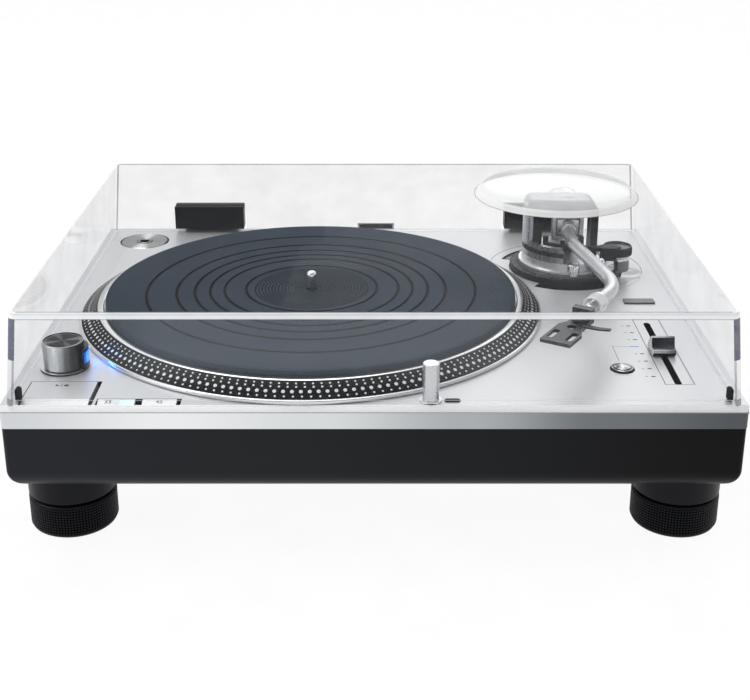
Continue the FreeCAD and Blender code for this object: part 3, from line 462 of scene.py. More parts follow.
def piece(bm, name, mats, body, replaces=(), smooth=32.0, recalc=True, bevel=0.0):
    if recalc:
        bmesh.ops.recalc_face_normals(bm, faces=bm.faces)
    bm.transform(Matrix.Scale(MM, 4))
    me = bpy.data.meshes.new(name)
    bm.to_mesh(me)
    bm.free()
    for m in mats:
        me.materials.append(M[m])
    me.polygons.foreach_set("use_smooth", [True] * len(me.polygons))
    me.set_sharp_from_angle(angle=math.radians(smooth))
    o = bpy.data.objects.new(name, me)
    bpy.context.scene.collection.objects.link(o)
    if bevel:
        b = o.modifiers.new("soft_edges", "BEVEL")
        b.width, b.segments, b.limit_method, b.angle_limit, b.harden_normals = bevel * MM, 2, "ANGLE", math.radians(32), True
    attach(o, body)
    if replaces:
        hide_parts(*replaces)
    return o


def refined(cad, name, mats, pick=None, bevel=0.3, seg=2, smooth=28.0, bev_mat=None, extra=None):
    """A piece made from a CAD node's own mesh: welded, its flat faces joined, its edges softened, its faces given finishes."""
    src = NODES[cad]
    bm = bmesh.new()
    bm.from_mesh(src.data)
    bm.transform(Matrix.Scale(1 / MM, 4))
    bmesh.ops.remove_doubles(bm, verts=bm.verts, dist=0.004)
    bmesh.ops.dissolve_limit(bm, angle_limit=math.radians(0.5), verts=bm.verts, edges=bm.edges, delimit={"NORMAL"})
    for f in bm.faces:
        f.material_index = pick(f.calc_center_median(), f.normal) if pick else 0
    if extra:
        extra(bm)
    o = piece(bm, name, mats, src["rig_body"], (cad,), smooth=smooth, recalc=False)
    if bevel:
        b = o.modifiers.new("soft_edges", "BEVEL")
        b.width, b.segments, b.limit_method, b.angle_limit = bevel * MM, seg, "ANGLE", math.radians(34)
        b.harden_normals = True
        b.use_clamp_overlap = True
        b.miter_outer = "MITER_ARC"
        if bev_mat is not None:
            b.material = bev_mat
    return o


def plain(cad, mat, bevel=0.0):
    o = NODES[cad]
    o.data.materials.clear()
    o.data.materials.append(M[mat])
    if bevel:
        w = o.modifiers.new("weld", "WELD")
        w.merge_threshold = 0.004 * MM
        b = o.modifiers.new("soft_edges", "BEVEL")
        b.width, b.segments, b.limit_method, b.angle_limit = bevel * MM, 2, "ANGLE", math.radians(40)
        b.use_clamp_overlap = True
    return o


def text_into(bm, txt, size, mtx, mat=0):
    cu = bpy.data.curves.new("tmp_text", "FONT")
    cu.body = txt
    cu.size = size
    cu.align_x, cu.align_y = "CENTER", "CENTER"
    o = bpy.data.objects.new("tmp_text", cu)
    bpy.context.scene.collection.objects.link(o)
    bpy.context.view_layer.update()
    me = bpy.data.meshes.new_from_object(o)
    bpy.data.objects.remove(o)
    n0 = len(bm.verts)
    f0 = len(bm.faces)
    bm.from_mesh(me)
    bm.verts.ensure_lookup_table()
    bm.faces.ensure_lookup_table()
    for v in bm.verts[n0:]:
        v.co = mtx @ v.co
    for f in bm.faces[f0:]:
        f.material_index = mat
    bpy.data.meshes.remove(me)
    bpy.data.curves.remove(cu)


def flat(bm, pts, mat=0):
    f = bm.faces.new([bm.verts.new(Vector(p)) for p in pts])
    f.material_index = mat
    return f


def bar(bm, x0, x1, y0, y1, z, mat=0):
    return flat(bm, [(x0, y0, z), (x1, y0, z), (x1, y1, z), (x0, y1, z)], mat)


def frame_line(bm, x0, x1, y0, y1, z, w, mat=0):
    bar(bm, x0, x1, y0, y0 + w, z, mat)
    bar(bm, x0, x1, y1 - w, y1, z, mat)
    bar(bm, x0, x0 + w, y0 + w, y1 - w, z, mat)
    bar(bm, x1 - w, x1, y0 + w, y1 - w, z, mat)


def arc_pts(cx, cy, r, a0, a1, n):
    return [(cx + r * math.cos(math.radians(a0 + (a1 - a0) * i / n)), cy + r * math.sin(math.radians(a0 + (a1 - a0) * i / n))) for i in range(n + 1)]


# ------------------------------------------------------------------ camera, floor, light
cam_data = bpy.data.cameras.new("camera")
cam = bpy.data.objects.new("camera", cam_data)
bpy.context.scene.collection.objects.link(cam)
cam.location = (0.0, -0.8755, 0.4381)
cam.rotation_euler = (math.radians(70.0), 0.0, 0.0)
cam_data.sensor_width = 36.0
cam_data.lens = 60.86
cam_data.shift_x = 0.00115
cam_data.shift_y = -0.0981
cam_data.clip_start = 0.02
cam_data.clip_end = 100.0
bpy.context.scene.camera = cam

scene = bpy.context.scene
scene.view_settings.view_transform = "Standard"
scene.view_settings.look = "None"

fl = bmesh.new()
for x, y in ((-6, -6), (6, -6), (6, 6), (-6, 6)):
    fl.verts.new((x, y, -0.0002))
fl.faces.new(fl.verts[:])
fme = bpy.data.meshes.new("floor")
fl.to_mesh(fme)
fl.free()
floor_mat, ft, fb = start("floor_pale")
fn = noise(ft, coords(ft), 25.0, 2.0)
ft.links.new(two(ft, fn, (0.07, 0.07, 0.07), (0.08, 0.08, 0.08)), fb.inputs["Base Color"])
fb.inputs["Roughness"].default_value = 0.6
fb.inputs["Specular IOR Level"].default_value = 0.0
ft.links.new(two(ft, fn, (0.985, 0.985, 0.985), (1, 1, 1)), fb.inputs["Emission Color"])
fb.inputs["Emission Strength"].default_value = 0.95
fme.materials.append(floor_mat)
floor = bpy.data.objects.new("floor", fme)
scene.collection.objects.link(floor)

world = bpy.data.worlds.new("studio")
scene.world = world
world.use_nodes = True
wt = world.node_tree
bg = wt.nodes["Background"]
tc = node(wt, "ShaderNodeTexCoord")
sep = node(wt, "ShaderNodeSeparateXYZ")
wt.links.new(tc.outputs["Generated"], sep.inputs[0])
# brighter behind and above, darker in front and to the right
rmp = node(wt, "ShaderNodeMapRange", interpolation_type="SMOOTHSTEP")
rmp.inputs["From Min"].default_value = -0.55
rmp.inputs["From Max"].default_value = 0.15
rmp.inputs["To Min"].default_value = 0.35
rmp.inputs["To Max"].default_value = 0.8
wt.links.new(sep.outputs["Y"], rmp.inputs["Value"])
wt.links.new(rmp.outputs["Result"], bg.inputs["Strength"])
bg.inputs["Color"].default_value = (1.0, 1.0, 1.0, 1.0)


def area(name, loc, target, size, power, size_y=None, colour=(1, 1, 1)):
    li = bpy.data.lights.new(name, "AREA")
    li.shape = "RECTANGLE"
    li.size = size
    li.size_y = size_y or size
    li.energy = power
    li.color = colour
    o = bpy.data.objects.new(name, li)
    scene.collection.objects.link(o)
    o.location = loc
    o.rotation_euler = (Vector(target) - Vector(loc)).to_track_quat("-Z", "Y").to_euler()
    o.visible_camera = False
    return o


area("key_top", (-0.35, 0.15, 1.5), (0, 0, 0.1), 1.5, 8.0, 1.2)
area("fill_left", (-1.5, -0.7, 0.7), (0, 0, 0.08), 1.0, 5.5, 0.8)
area("rim_back", (0.5, 1.6, 0.9), (0, 0, 0.1), 1.4, 3.0, 0.7)

# ------------------------------------------------------------------ deck and cabinet
POCKETS = [(-215.6, -171.0, -182.1, -148.0), (-169.0, -117.4, -182.1, -173.3)]


def deck_pick(c, n):
    h = c.z - ZD
    for x0, x1, y0, y1 in POCKETS:
        if x0 - 0.1 < c.x < x1 + 0.1 and y0 - 0.1 < c.y < y1 + 0.1 and h < -2.0 and not (n.y < -0.5 and c.y < -182.5):
            return 1
    if 188.2 < c.x < 193.4 and -153.4 < c.y < -49.6 and h < -0.4:
        return 1
    if abs(n.z) < 0.5 and h < -0.3 and c.y > -181.5 and math.hypot(c.x - PX, c.y - PY) < 61:
        return 1
    if h < -0.6 and math.hypot(c.x - CX, c.y - CY) < 84:
        return 1
    if h < -0.6 and (math.hypot(c.x + 199.6, c.y + 125.8) < 5 or math.hypot(c.x - 159.8, c.y + 128.7) < 9 or math.hypot(c.x - 34.5, c.y + 175.6) < 7 or (abs(c.x - 47.6) < 6 and abs(c.y + 176.3) < 3)):
        return 1
    if h < -0.6 and math.hypot(c.x + 191.9, c.y - 131.8) < 21:
        return 3
    if n.z < -0.5:
        return 1
    if n.y < -0.3 and c.y < -181.0:
        return 2 if n.z < 0.2 and c.z < ZD - 3.0 else 4
    if abs(n.z) < 0.3:
        return 0
    return 0


refined("top_panel", "deck_panel", ["deck", "pocket", "deck_side", "flange", "deck_lip"], deck_pick, bevel=0.35, seg=3)
refined("cabinet", "cabinet_shell", ["cabinet"], bevel=0.5)
refined("foot_necks", "foot_neck_set", ["black"], bevel=0.3)
bm = bmesh.new()
flat(bm, [(-226.3, -186.02, 99.45), (226.3, -186.02, 99.45), (226.3, -186.02, 100.05), (-226.3, -186.02, 100.05)])
piece(bm, "deck_front_line", ["deck_line"], "chassis", recalc=False)
plain("bottom_cover", "rubber", 0.4)
plain("sub_chassis", "satin")
plain("stator_coils", "copper")
plain("bearing_housing", "brass")
plain("circuit_boards", "board")
plain("deck_switches_and_fader", "grey")
plain("bottom_screws", "steel")
refined("rear_terminal_panel", "terminal_panel", ["black"], bevel=0.3)
refined("mains_inlet", "mains_inlet_body", ["black", "steel"], lambda c, n: 1 if abs(c.z - 70) < 6.5 and 147.5 < c.y < 161.2 and abs(c.x + 78) < 8 else 0, bevel=0.3)
refined("hinge_brackets", "hinge_bracket_pair", ["black", "steel"], lambda c, n: 1 if math.hypot(c.y - 174, c.z - 109) < 2.3 else 0, bevel=0.6)

# phono sockets and ground post with plated shells and coloured insulators
bm = bmesh.new()
for i, x in enumerate((66.0, 80.0)):
    m = orient((x, 154.0, 70.0), (0, 1, 0))
    lathe(bm, [(0, 0), (3.9, 0), (3.9, 8.2), (5.6, 8.25), (5.6, 9.4), (3.9, 9.5), (3.9, 10.0), (4.15, 10.2), (4.15, 19.7), (3.85, 20.0), (3.3, 20.0), (3.3, 18.9)], m, 48, 0)
    lathe(bm, [(3.3, 18.9), (1.7, 18.9), (1.6, 18.6), (1.6, 12.0), (0, 12.0)], m, 48, 1 + i)
m = orient((93.0, 162.0, 70.0), (0, 1, 0))
lathe(bm, [(0, 0), (1.8, 0), (1.8, 5.0), (3.6, 5.0, 0.3), (4.2, 5.5, 0.35), (4.2, 9.4, 0.35), (3.7, 10.0, 0.3), (1.8, 10.0), (1.8, 11.6), (1.4, 12.0), (0, 12.0)], m, 56, 3)
piece(bm, "phono_sockets", ["gold", "white", "red", "steel"], "chassis", ("phono_terminals",))

# ------------------------------------------------------------------ feet: knurled wall, rounded foot, groove
for nm, fx, fy in (("front_left", -198.1, -138.6), ("front_right", 198.1, -138.6), ("rear_left", -198.1, 118.6), ("rear_right", 198.1, 118.6)):
    bm = bmesh.new()
    m = at(fx, fy)
    lathe(bm, [(0, 0), (25.1, 0), (26.3, 0.25), (27.3, 1.0), (27.8, 2.0), (27.85, 2.5)], m, 96, 0)
    cols, rows = 92, 10
    z0, z1 = 2.6, 21.3
    grid = []
    for j in range(rows + 1):
        z = z0 + (z1 - z0) * j / rows
        grid.append([bm.verts.new(m @ Vector((27.65 * math.cos(2 * math.pi * k / cols), 27.65 * math.sin(2 * math.pi * k / cols), z))) for k in range(cols)])
    for j in range(rows):
        for k in range(cols):
            a = 2 * math.pi * (k + 0.5) / cols
            z = z0 + (z1 - z0) * (j + 0.5) / rows
            q = (grid[j][k], grid[j][(k + 1) % cols], grid[j + 1][(k + 1) % cols], grid[j + 1][k])
            # flat-topped square bosses
            inner = []
            for da, dz in ((-0.3, -0.3), (0.3, -0.3), (0.3, 0.3), (-0.3, 0.3)):
                aa = 2 * math.pi * (k + 0.5 + da) / cols
                inner.append(bm.verts.new(m @ Vector((28.28 * math.cos(aa), 28.28 * math.sin(aa), z + dz * (z1 - z0) / rows))))
            for e in range(4):
                bm.faces.new((q[e], q[(e + 1) % 4], inner[(e + 1) % 4], inner[e]))
            bm.faces.new(inner)
    lathe(bm, [(27.75, 21.35), (27.8, 21.9), (27.3, 22.6), (26.5, 22.95), (20.3, 23.0), (20.0, 23.3), (20.0, 26.6), (4.2, 26.6), (4.07, 26.3), (4.07, 8.1), (7.07, 8.05), (7.07, 5.4), (0, 5.4)], m, 96, [0, 0, 0, 0, 1, 1, 1, 1, 1, 1, 1, 1])
    piece(bm, "foot_knurled_" + nm, ["black", "rubber"], "foot_" + nm, ("foot_" + nm,), smooth=20)
    plain("foot_stud_" + nm, "steel")

# ------------------------------------------------------------------ dust cover
def rr_ring(hx, yf, yb, rc, h, n=5):
    pts = []
    for cx, cy, a0 in ((hx - rc, yb - rc, 0), (-hx + rc, yb - rc, 90), (-hx + rc, yf + rc, 180), (hx - rc, yf + rc, 270)):
        for i in range(n + 1):
            a = math.radians(a0 + 90 * i / n)
            pts.append(Vector((cx + rc * math.cos(a), cy + rc * math.sin(a), ZD + h)))
    return pts


def cover_ring(h, side, front, rc):
    t = (h - 0.4) / 59.4
    hx = 221.8 - 5.3 * t - side
    return rr_ring(hx, -186.0 + 4.0 * t + front, 160.2 - t - side, rc, h)


bm = bmesh.new()
NC = 24
outer = [(0.4, 0.3, 3.3, "foot"), (1.0, 0.0, 4.4, "low"), (4.4, 0.0, 4.6, "low_line"), (5.2, 0.0, 4.8, "mid"), (30.0, 0.0, 5.0, "high"), (55.4, 0.0, 5.0, "band_line"), (55.9, 0.0, 5.0, "band"),
         (58.3, 0.05, 5.0, "line"), (59.2, 0.35, 4.6, "edge"), (59.65, 0.9, 4.1, "top_line"), (59.8, 1.9, 3.2, "")]
inner = [(0.4, 3.0, 1.2), (1.0, 3.3, 1.0), (55.3, 3.3, 1.0), (56.2, 3.6, 0.9), (56.5, 4.4, 0.6)]
orings = [[bm.verts.new(p) for p in cover_ring(h, i, i, rc)] for h, i, rc, _ in outer]
irings = [[bm.verts.new(p) for p in cover_ring(h, i, i - 0.8 if i > 2 else i, rc)] for h, i, rc in inner]
CMATS = ["c_top", "c_front", "c_wall", "c_inner", "c_edge", "c_band", "c_rim", "c_navy", "c_dark", "c_dome", "c_lip", "c_line", "c_rear"]
CI = {k: i for i, k in enumerate(CMATS)}


def zone(k, strip):
    """Material of the outer wall face k (of 24 round the ring) in a strip of the wall: see-through zones, or painted
    reflection and highlight zones (edge strips, corner strips, lines, band).
    """
    corner, front = k % 6 != 5, k == 17
    if strip == "foot":
        return "c_rim"
    if strip == "edge":
        return "c_edge"
    if strip == "line":
        return "c_edge" if front or (corner and k >= 12) else "c_line"
    if strip == "top_line":
        return "c_line" if front else "c_edge"
    if corner and k >= 12:
        if strip == "mid":
            return "c_line" if k in (12, 16, 18, 22) else "c_front"
        return {"high": "c_navy", "band_line": "c_navy", "low": "c_dark", "low_line": "c_dark", "band": "c_band"}[strip]
    if corner:
        return "c_dark" if k % 6 == 2 else "c_rear"
    if k == 5:
        return "c_rear"
    if front:
        return {"band": "c_band", "band_line": "c_line", "low_line": "c_rim"}.get(strip, "c_front")
    return "c_wall"


for lv, (a, b) in enumerate(zip(orings, orings[1:])):
    for k in range(NC):
        f = bm.faces.new((a[k], a[(k + 1) % NC], b[(k + 1) % NC], b[k]))
        f.material_index = CI[zone(k, outer[lv][3])]
for a, b in zip(irings, irings[1:]):
    for k in range(NC):
        f = bm.faces.new((b[k], b[(k + 1) % NC], a[(k + 1) % NC], a[k]))
        f.material_index = CI["c_inner"]
for k in range(NC):
    f = bm.faces.new((irings[0][k], irings[0][(k + 1) % NC], orings[0][(k + 1) % NC], orings[0][k]))
    f.material_index = CI["c_rim"]
DX, DY, DS = 140.3, 66.5, 96
dome_o = [(62.4, 59.8), (61.9, 60.3), (60.6, 62.4), (58.9, 64.4), (56.4, 66.2), (53.4, 67.4), (46.0, 68.6), (36.4, 69.4), (20.0, 69.9), (0, 70.0)]
dome_i = [(59.1, 56.5), (59.1, 58.8), (57.8, 60.8), (55.9, 62.2), (51.4, 64.5), (35.4, 66.4), (18.0, 66.9), (0, 67.0)]
ro = lathe(bm, [(r, ZD + h) for r, h in dome_o], at(DX, DY), DS, [CI["c_lip"]] * 3 + [CI["c_dome"]] * 6)
ri = lathe(bm, [(r, ZD + h) for r, h in dome_i], at(DX, DY), DS, CI["c_inner"])
for ring, circ, mi in ((orings[-1], ro[0], CI["c_top"]), (irings[-1], ri[0], CI["c_inner"])):
    es = []
    for loop in (ring, circ):
        for k in range(len(loop)):
            e = bm.edges.get((loop[k], loop[(k + 1) % len(loop)]))
            es.append(e)
    got = bmesh.ops.triangle_fill(bm, use_beauty=True, edges=es, normal=(0, 0, 1))
    for g in got["geom"]:
        if isinstance(g, bmesh.types.BMFace):
            g.material_index = mi
cover = piece(bm, "cover_shell", CMATS, "dust_cover", ("dust_cover",), smooth=25)
cover.visible_shadow = False
cuts = []
for s in (-1, 1):
    cb = bmesh.new()
    hx = s * 139.9
    rbox(cb, hx - 31.0, hx + 31.0, 150.0, 170.0, ZD - 5.0, ZD + 20.0, bev=2.2, seg=4)
    cb.transform(Matrix.Scale(MM, 4))
    bmesh.ops.recalc_face_normals(cb, faces=cb.faces)
    cme = bpy.data.meshes.new("cut")
    cb.to_mesh(cme)
    cb.free()
    for mname in CMATS:
        cme.materials.append(M[mname])
    for pg in cme.polygons:
        pg.material_index = CI["c_rim"]
    co = bpy.data.objects.new("cut", cme)
    scene.collection.objects.link(co)
    cuts.append(co)
    mod = cover.modifiers.new("notch", "BOOLEAN")
    mod.operation, mod.object, mod.solver = "DIFFERENCE", co, "EXACT"
bpy.context.view_layer.update()
dg = bpy.context.evaluated_depsgraph_get()
cut_mesh = bpy.data.meshes.new_from_object(cover.evaluated_get(dg))
cover.modifiers.clear()
old = cover.data
cover.data = cut_mesh
cut_mesh.name = "cover_shell"
bpy.data.meshes.remove(old)
for co in cuts:
    bpy.data.objects.remove(co)

# the fine line round the dome's shoulder, a grey painted shade line in the crease
bm = bmesh.new()
lathe(bm, closed([(63.0, ZD + 59.86), (62.2, ZD + 59.86), (62.2, ZD + 60.1), (63.0, ZD + 60.1)]), at(DX, DY), 96, 0)
piece(bm, "cover_dome_foot_line", ["c_soft"], "dust_cover")

refined("cover_hinge_blocks", "hinge_block_pair", ["black"], bevel=0.7, seg=3)
bm = bmesh.new()
for s in (-1, 1):
    x0, x1 = sorted((s * 218.1, s * 214.6))
    rbox(bm, x0, x1, -178.6, -172.0, ZD + 0.1, ZD + 8.5, bev=1.6, seg=4)
piece(bm, "cover_bumper_set", ["rubber"], "dust_cover", ("cover_bumpers",))
bm = bmesh.new()
rbox(bm, -14.0, 17.0, 155.5, 156.8, ZD + 2.4, ZD + 8.2, bev=0.35, mat=0)
rbox(bm, -12.6, 15.6, 155.35, 155.6, ZD + 3.3, ZD + 7.3, bev=0.1, mat=1)
piece(bm, "rear_plate_blank", ["satin", "dark"], "dust_cover", ("rear_blank_plate",))

# ------------------------------------------------------------------ platter, dots, mat, spindle
bm = bmesh.new()
PR = [(3.12, 10.6), (147.0, 10.6), (147.25, 10.65), (147.75, 11.0), (148.1, 11.1), (150.8, 11.1), (151.2, 11.05), (151.8, 10.7), (163.3, 3.0), (163.7, 2.95), (164.2, 2.85), (164.55, 2.6), (164.7, 2.3), (164.7, 0.9), (164.5, 0.5), (163.9, 0.4),
      (158.0, 0.4), (147.0, 1.2), (140.0, 5.0), (24.0, 5.0), (24.0, 0.0), (76.0, 0.0), (76.0, -3.0), (3.12, -3.0), (3.12, 10.6)]
PM = [1, 0, 0, 0, 0, 0, 0, 2, 1, 1, 1, 1, 3, 3, 3, 3, 3, 3, 3, 3, 3, 3, 3, 3]
lathe(bm, [(r, ZD + h) for r, h in PR], at(CX, CY), 288, PM)
# the polished lip carries painted highlight wedges, bright at the front left, duller to the right and back
M["rim_lip"] = conic_painted_highlight("platter_lip", (CX, CY), (0.88, 0.89, 0.91), 0.2, 1.0, [(0.0, 0.75), (1.0, 0.75), (0.08, 1.1), (0.25, 1.12), (0.38, 0.95), (0.46, 0.6), (0.6, 0.5), (0.9, 0.55)], bump=0.0)
piece(bm, "platter_casting", ["rim_lip", "flange", "bevel", "flange"], "platter", ("platter",))
bm = bmesh.new()
sl = Vector((163.3 - 151.8, 3.0 - 10.7)).normalized()
for frac, r, count, ph in ((0.154, 0.64, 186, 0.0), (0.33, 0.72, 185, 0.3), (0.573, 1.22, 184, 0.1), (0.824, 0.70, 183, 0.5)):
    rad = 151.8 + (163.3 - 151.8) * frac
    hh = 10.7 + (3.0 - 10.7) * frac
    nrm = Vector((-sl.y, sl.x))
    for k in range(count):
        a = 2 * math.pi * (k + ph) / count
        er = Vector((math.cos(a), math.sin(a), 0))
        et = Vector((-math.sin(a), math.cos(a), 0))
        ed = er * sl.x + Vector((0, 0, sl.y))
        en = er * nrm.x + Vector((0, 0, nrm.y))
        if en.z < 0:
            en = -en
        c = er * rad + Vector((CX, CY, ZD + hh)) + en * 0.05
        vs = [bm.verts.new(c + et * (r * math.cos(q)) + ed * (r * math.sin(q))) for q in (2 * math.pi * j / 14 for j in range(14))]
        top = [bm.verts.new(c + en * 0.06 + et * (r * 0.86 * math.cos(q)) + ed * (r * 0.86 * math.sin(q))) for q in (2 * math.pi * j / 14 for j in range(14))]
        bm.faces.new(top)
        for j in range(14):
            bm.faces.new((vs[j], vs[(j + 1) % 14], top[(j + 1) % 14], top[j]))
piece(bm, "platter_strobe_dots", ["dots"], "platter")
bm = bmesh.new()
H1 = 14.6
prof, mm_ = [(4.2, 10.7), (4.2, 14.2), (4.6, H1 - 0.9), (6.4, H1 - 0.9)], [0, 0, 0]
fine = [x for x in [7.6 + 2.35 * i for i in range(15)]]
RM = 146.2
broad = [0.322 * RM, 0.427 * RM, 0.497 * RM, 0.572 * RM, 0.66 * RM, 0.805 * RM]
prof.append((6.9, H1 - 0.3))
mm_.append(0)
for x in fine:
    for dr, dh, mt in ((-0.42, -0.3, 0), (-0.1, -0.95, 1), (0.1, -0.95, 1), (0.42, -0.3, 1)):
        prof.append((x + dr, H1 + dh))
        mm_.append(mt)
prof.append((43.5, H1 - 0.3))
mm_.append(0)
prof.append((44.4, H1))
mm_.append(0)
for x in broad:
    for dr, dh, mt in ((-1.1, 0.0, 0), (-0.75, -0.5, 1), (-0.5, -1.1, 1), (0.5, -1.1, 1), (0.75, -0.5, 1), (1.1, 0.0, 1)):
        prof.append((x + dr, H1 + dh))
        mm_.append(mt)
for r, h in ((141.0, H1), (142.6, H1 + 0.0), (145.2, H1), (145.9, H1 - 0.3), (RM, H1 - 0.9), (RM, 11.5), (145.4, 10.7), (4.2, 10.7)):
    prof.append((r, h))
    mm_.append(0)
# the groove walls and floors take the darker groove colour as painted shade
lathe(bm, [(r, ZD + h) for r, h in prof], at(CX, CY), 240, mm_)
piece(bm, "mat_ribbed", ["mat", "groove"], "rubber_mat", ("rubber_mat",))
bm = bmesh.new()
lathe(bm, [(0, ZD - 41.0), (2.8, ZD - 41.0), (3.1, ZD - 40.6), (3.1, ZD + 14.7), (3.58, ZD + 14.8), (3.58, ZD + 25.2), (3.45, ZD + 25.6), (2.9, ZD + 26.4), (2.2, ZD + 27.0), (1.3, ZD + 27.45), (0.6, ZD + 27.6), (0, ZD + 27.6)], at(CX, CY), 64, 0)
piece(bm, "spindle_turned", ["chrome"], "platter", ("spindle",))
plain("rotor_magnet", "magnet")

# ------------------------------------------------------------------ small controls
bm = bmesh.new()
AX, AY = -191.9, 131.8
AD_PROF = [(3.7, ZD - 9.9), (3.7, ZD - 0.2), (4.1, ZD + 0.15), (5.6, ZD + 0.15), (5.9, ZD - 0.3), (6.6, ZD - 0.3), (6.9, ZD + 0.1), (17.2, ZD + 0.4), (18.6, ZD + 0.35), (19.3, ZD - 0.4), (19.3, ZD - 9.4), (18.9, ZD - 9.9), (3.7, ZD - 9.9)]
# the hole and the narrow groove are dark metal as painted shade; the turned top carries painted highlight wedges
lathe(bm, AD_PROF, at(AX, AY), 128, [1, 1, 0, 1, 1, 0, 0, 0, 0, 0, 0, 0])
M["adapter"] = conic_painted_highlight("adapter_turned", (AX, AY), (0.80, 0.82, 0.84), 0.22, 1.0, [(0.0, 0.4), (1.0, 0.4), (0.15, 0.45), (0.24, 1.2), (0.33, 0.5), (0.5, 0.4), (0.64, 0.45), (0.74, 1.2), (0.84, 0.45)])
piece(bm, "adapter_turned", ["adapter", "dark"], "adapter_45", ("adapter_45",))

# power dial: silver flared wall, black brushed top with ticks near its rim; wall and top carry painted highlight
# wedges, and the rounded top edge is white as a painted highlight
DLX, DLY = -199.6, -125.8
M["dial_top"] = conic_painted_highlight("dial_top_black", (DLX, DLY), (0.16, 0.165, 0.175), 0.32, 0.5, [(0.0, 0.1), (1.0, 0.1), (0.06, 1.2), (0.12, 0.08), (0.28, 0.06), (0.34, 0.7), (0.4, 0.06), (0.5, 0.1), (0.56, 1.3), (0.63, 0.08), (0.78, 0.06), (0.84, 0.8), (0.9, 0.06)], spec=0.12)
M["dial_side"] = conic_painted_highlight("dial_side_silver", (DLX, DLY), (0.78, 0.80, 0.82), 0.3, 0.95, [(0.0, 0.2), (1.0, 0.2), (0.06, 0.25), (0.12, 0.36), (0.185, 0.7), (0.228, 1.2), (0.262, 0.75), (0.30, 0.26), (0.36, 0.09), (0.45, 0.05), (0.62, 0.15), (0.8, 0.45)], bump=0.0)
bm = bmesh.new()
lathe(bm, [(0, ZD + 1.6), (12.6, ZD + 1.6), (12.9, ZD + 1.9), (13.4, ZD + 17.9), (13.35, ZD + 18.5), (13.1, ZD + 18.95), (12.75, ZD + 19.0), (12.5, ZD + 18.85), (12.35, ZD + 18.45), (10.2, ZD + 18.4), (10.0, ZD + 18.55), (3.0, ZD + 18.6), (0, ZD + 18.6)],
      at(DLX, DLY), 128, [2, 2, 0, 0, 0, 3, 1, 1, 1, 1, 1, 1])
for k in range(40):
    a = 2 * math.pi * k / 40
    mt = at(DLX, DLY) @ Matrix.Rotation(a, 4, "Z")
    q = [mt @ Vector(p) for p in ((10.7, -0.14, ZD + 18.5), (12.1, -0.14, ZD + 18.5), (12.1, 0.14, ZD + 18.5), (10.7, 0.14, ZD + 18.5))]
    flat(bm, q, 3)
lathe(bm, [(0, ZD - 16.5), (3.98, ZD - 16.5), (3.98, ZD + 1.7)], at(DLX, DLY), 48, 2)
piece(bm, "power_dial_knob", ["dial_side", "dial_top", "black", "white"], "power_dial", ("power_dial",), recalc=False)
# the housing's upper wall carries the dial side's painted highlight wedges
refined("strobe_housing", "strobe_lamp_housing", ["dial_side", "black", "satin"], lambda c, n: 0 if c.z > ZD + 1.25 else (2 if n.z > 0.5 else 1), bevel=0.25)
bm = bmesh.new()
pts = arc_pts(DLX, DLY, 15.95, -26, 26, 16)
for i, ((xa, ya), (xb, yb)) in enumerate(zip(pts, pts[1:])):
    flat(bm, [(xa, ya, ZD + 5.2), (xb, yb, ZD + 5.2), (xb, yb, ZD + 12.6), (xa, ya, ZD + 12.6)], 1 if i > 11 else (2 if i < 3 else 0))
piece(bm, "strobe_lens", ["glow", "glow_side", "glow_dim"], "chassis")

# keys with generic pictograms and numerals
# the keys' front faces take the deck front's painted reflection gradient, and their sides down in the pockets the
# pocket's painted shade
refined("start_stop_key", "start_stop_keycap", ["deck", "deck_side", "pocket"], lambda c, n: 2 if c.z < ZD - 4.5 and abs(n.y) < 0.5 and n.z < 0.5 else (1 if n.y < -0.5 else 0), bevel=0.35, seg=3)
refined("speed_key_33", "speed_keycap_33", ["deck", "deck_side", "pocket"], lambda c, n: 2 if c.z < ZD - 4.5 and n.z < 0.5 else (1 if n.y < -0.5 else 0), bevel=0.3, seg=3)
refined("speed_key_45", "speed_keycap_45", ["deck", "deck_side", "pocket"], lambda c, n: 2 if c.z < ZD - 4.5 and n.z < 0.5 else (1 if n.y < -0.5 else 0), bevel=0.3, seg=3)
plain("speed_key_lamp", "lamp", 0.2)
bm = bmesh.new()
z = ZD + 0.04
flat(bm, [(-199.0, -152.6, z), (-196.4, -154.1, z), (-199.0, -155.6, z)], 0)
bar(bm, -195.4, -194.9, -155.8, -152.4, z, 0)
bar(bm, -193.6, -190.9, -155.4, -152.8, z, 0)
piece(bm, "start_stop_marks", ["print_grey"], "start_stop_key", recalc=False)
lean = math.atan2(2.1, 8.1)
for nm, x in (("33", -162.2), ("45", -130.8)):
    bm = bmesh.new()
    mt = Matrix.Translation((x, -176.2, ZD - 0.74 + 0.06)) @ Matrix.Rotation(lean, 4, "X")
    text_into(bm, nm, 4.4, mt)
    piece(bm, "speed_mark_" + nm, ["print_grey"], "speed_key_" + nm, recalc=False)

bm = bmesh.new()
RX, RY = 159.8, -128.7
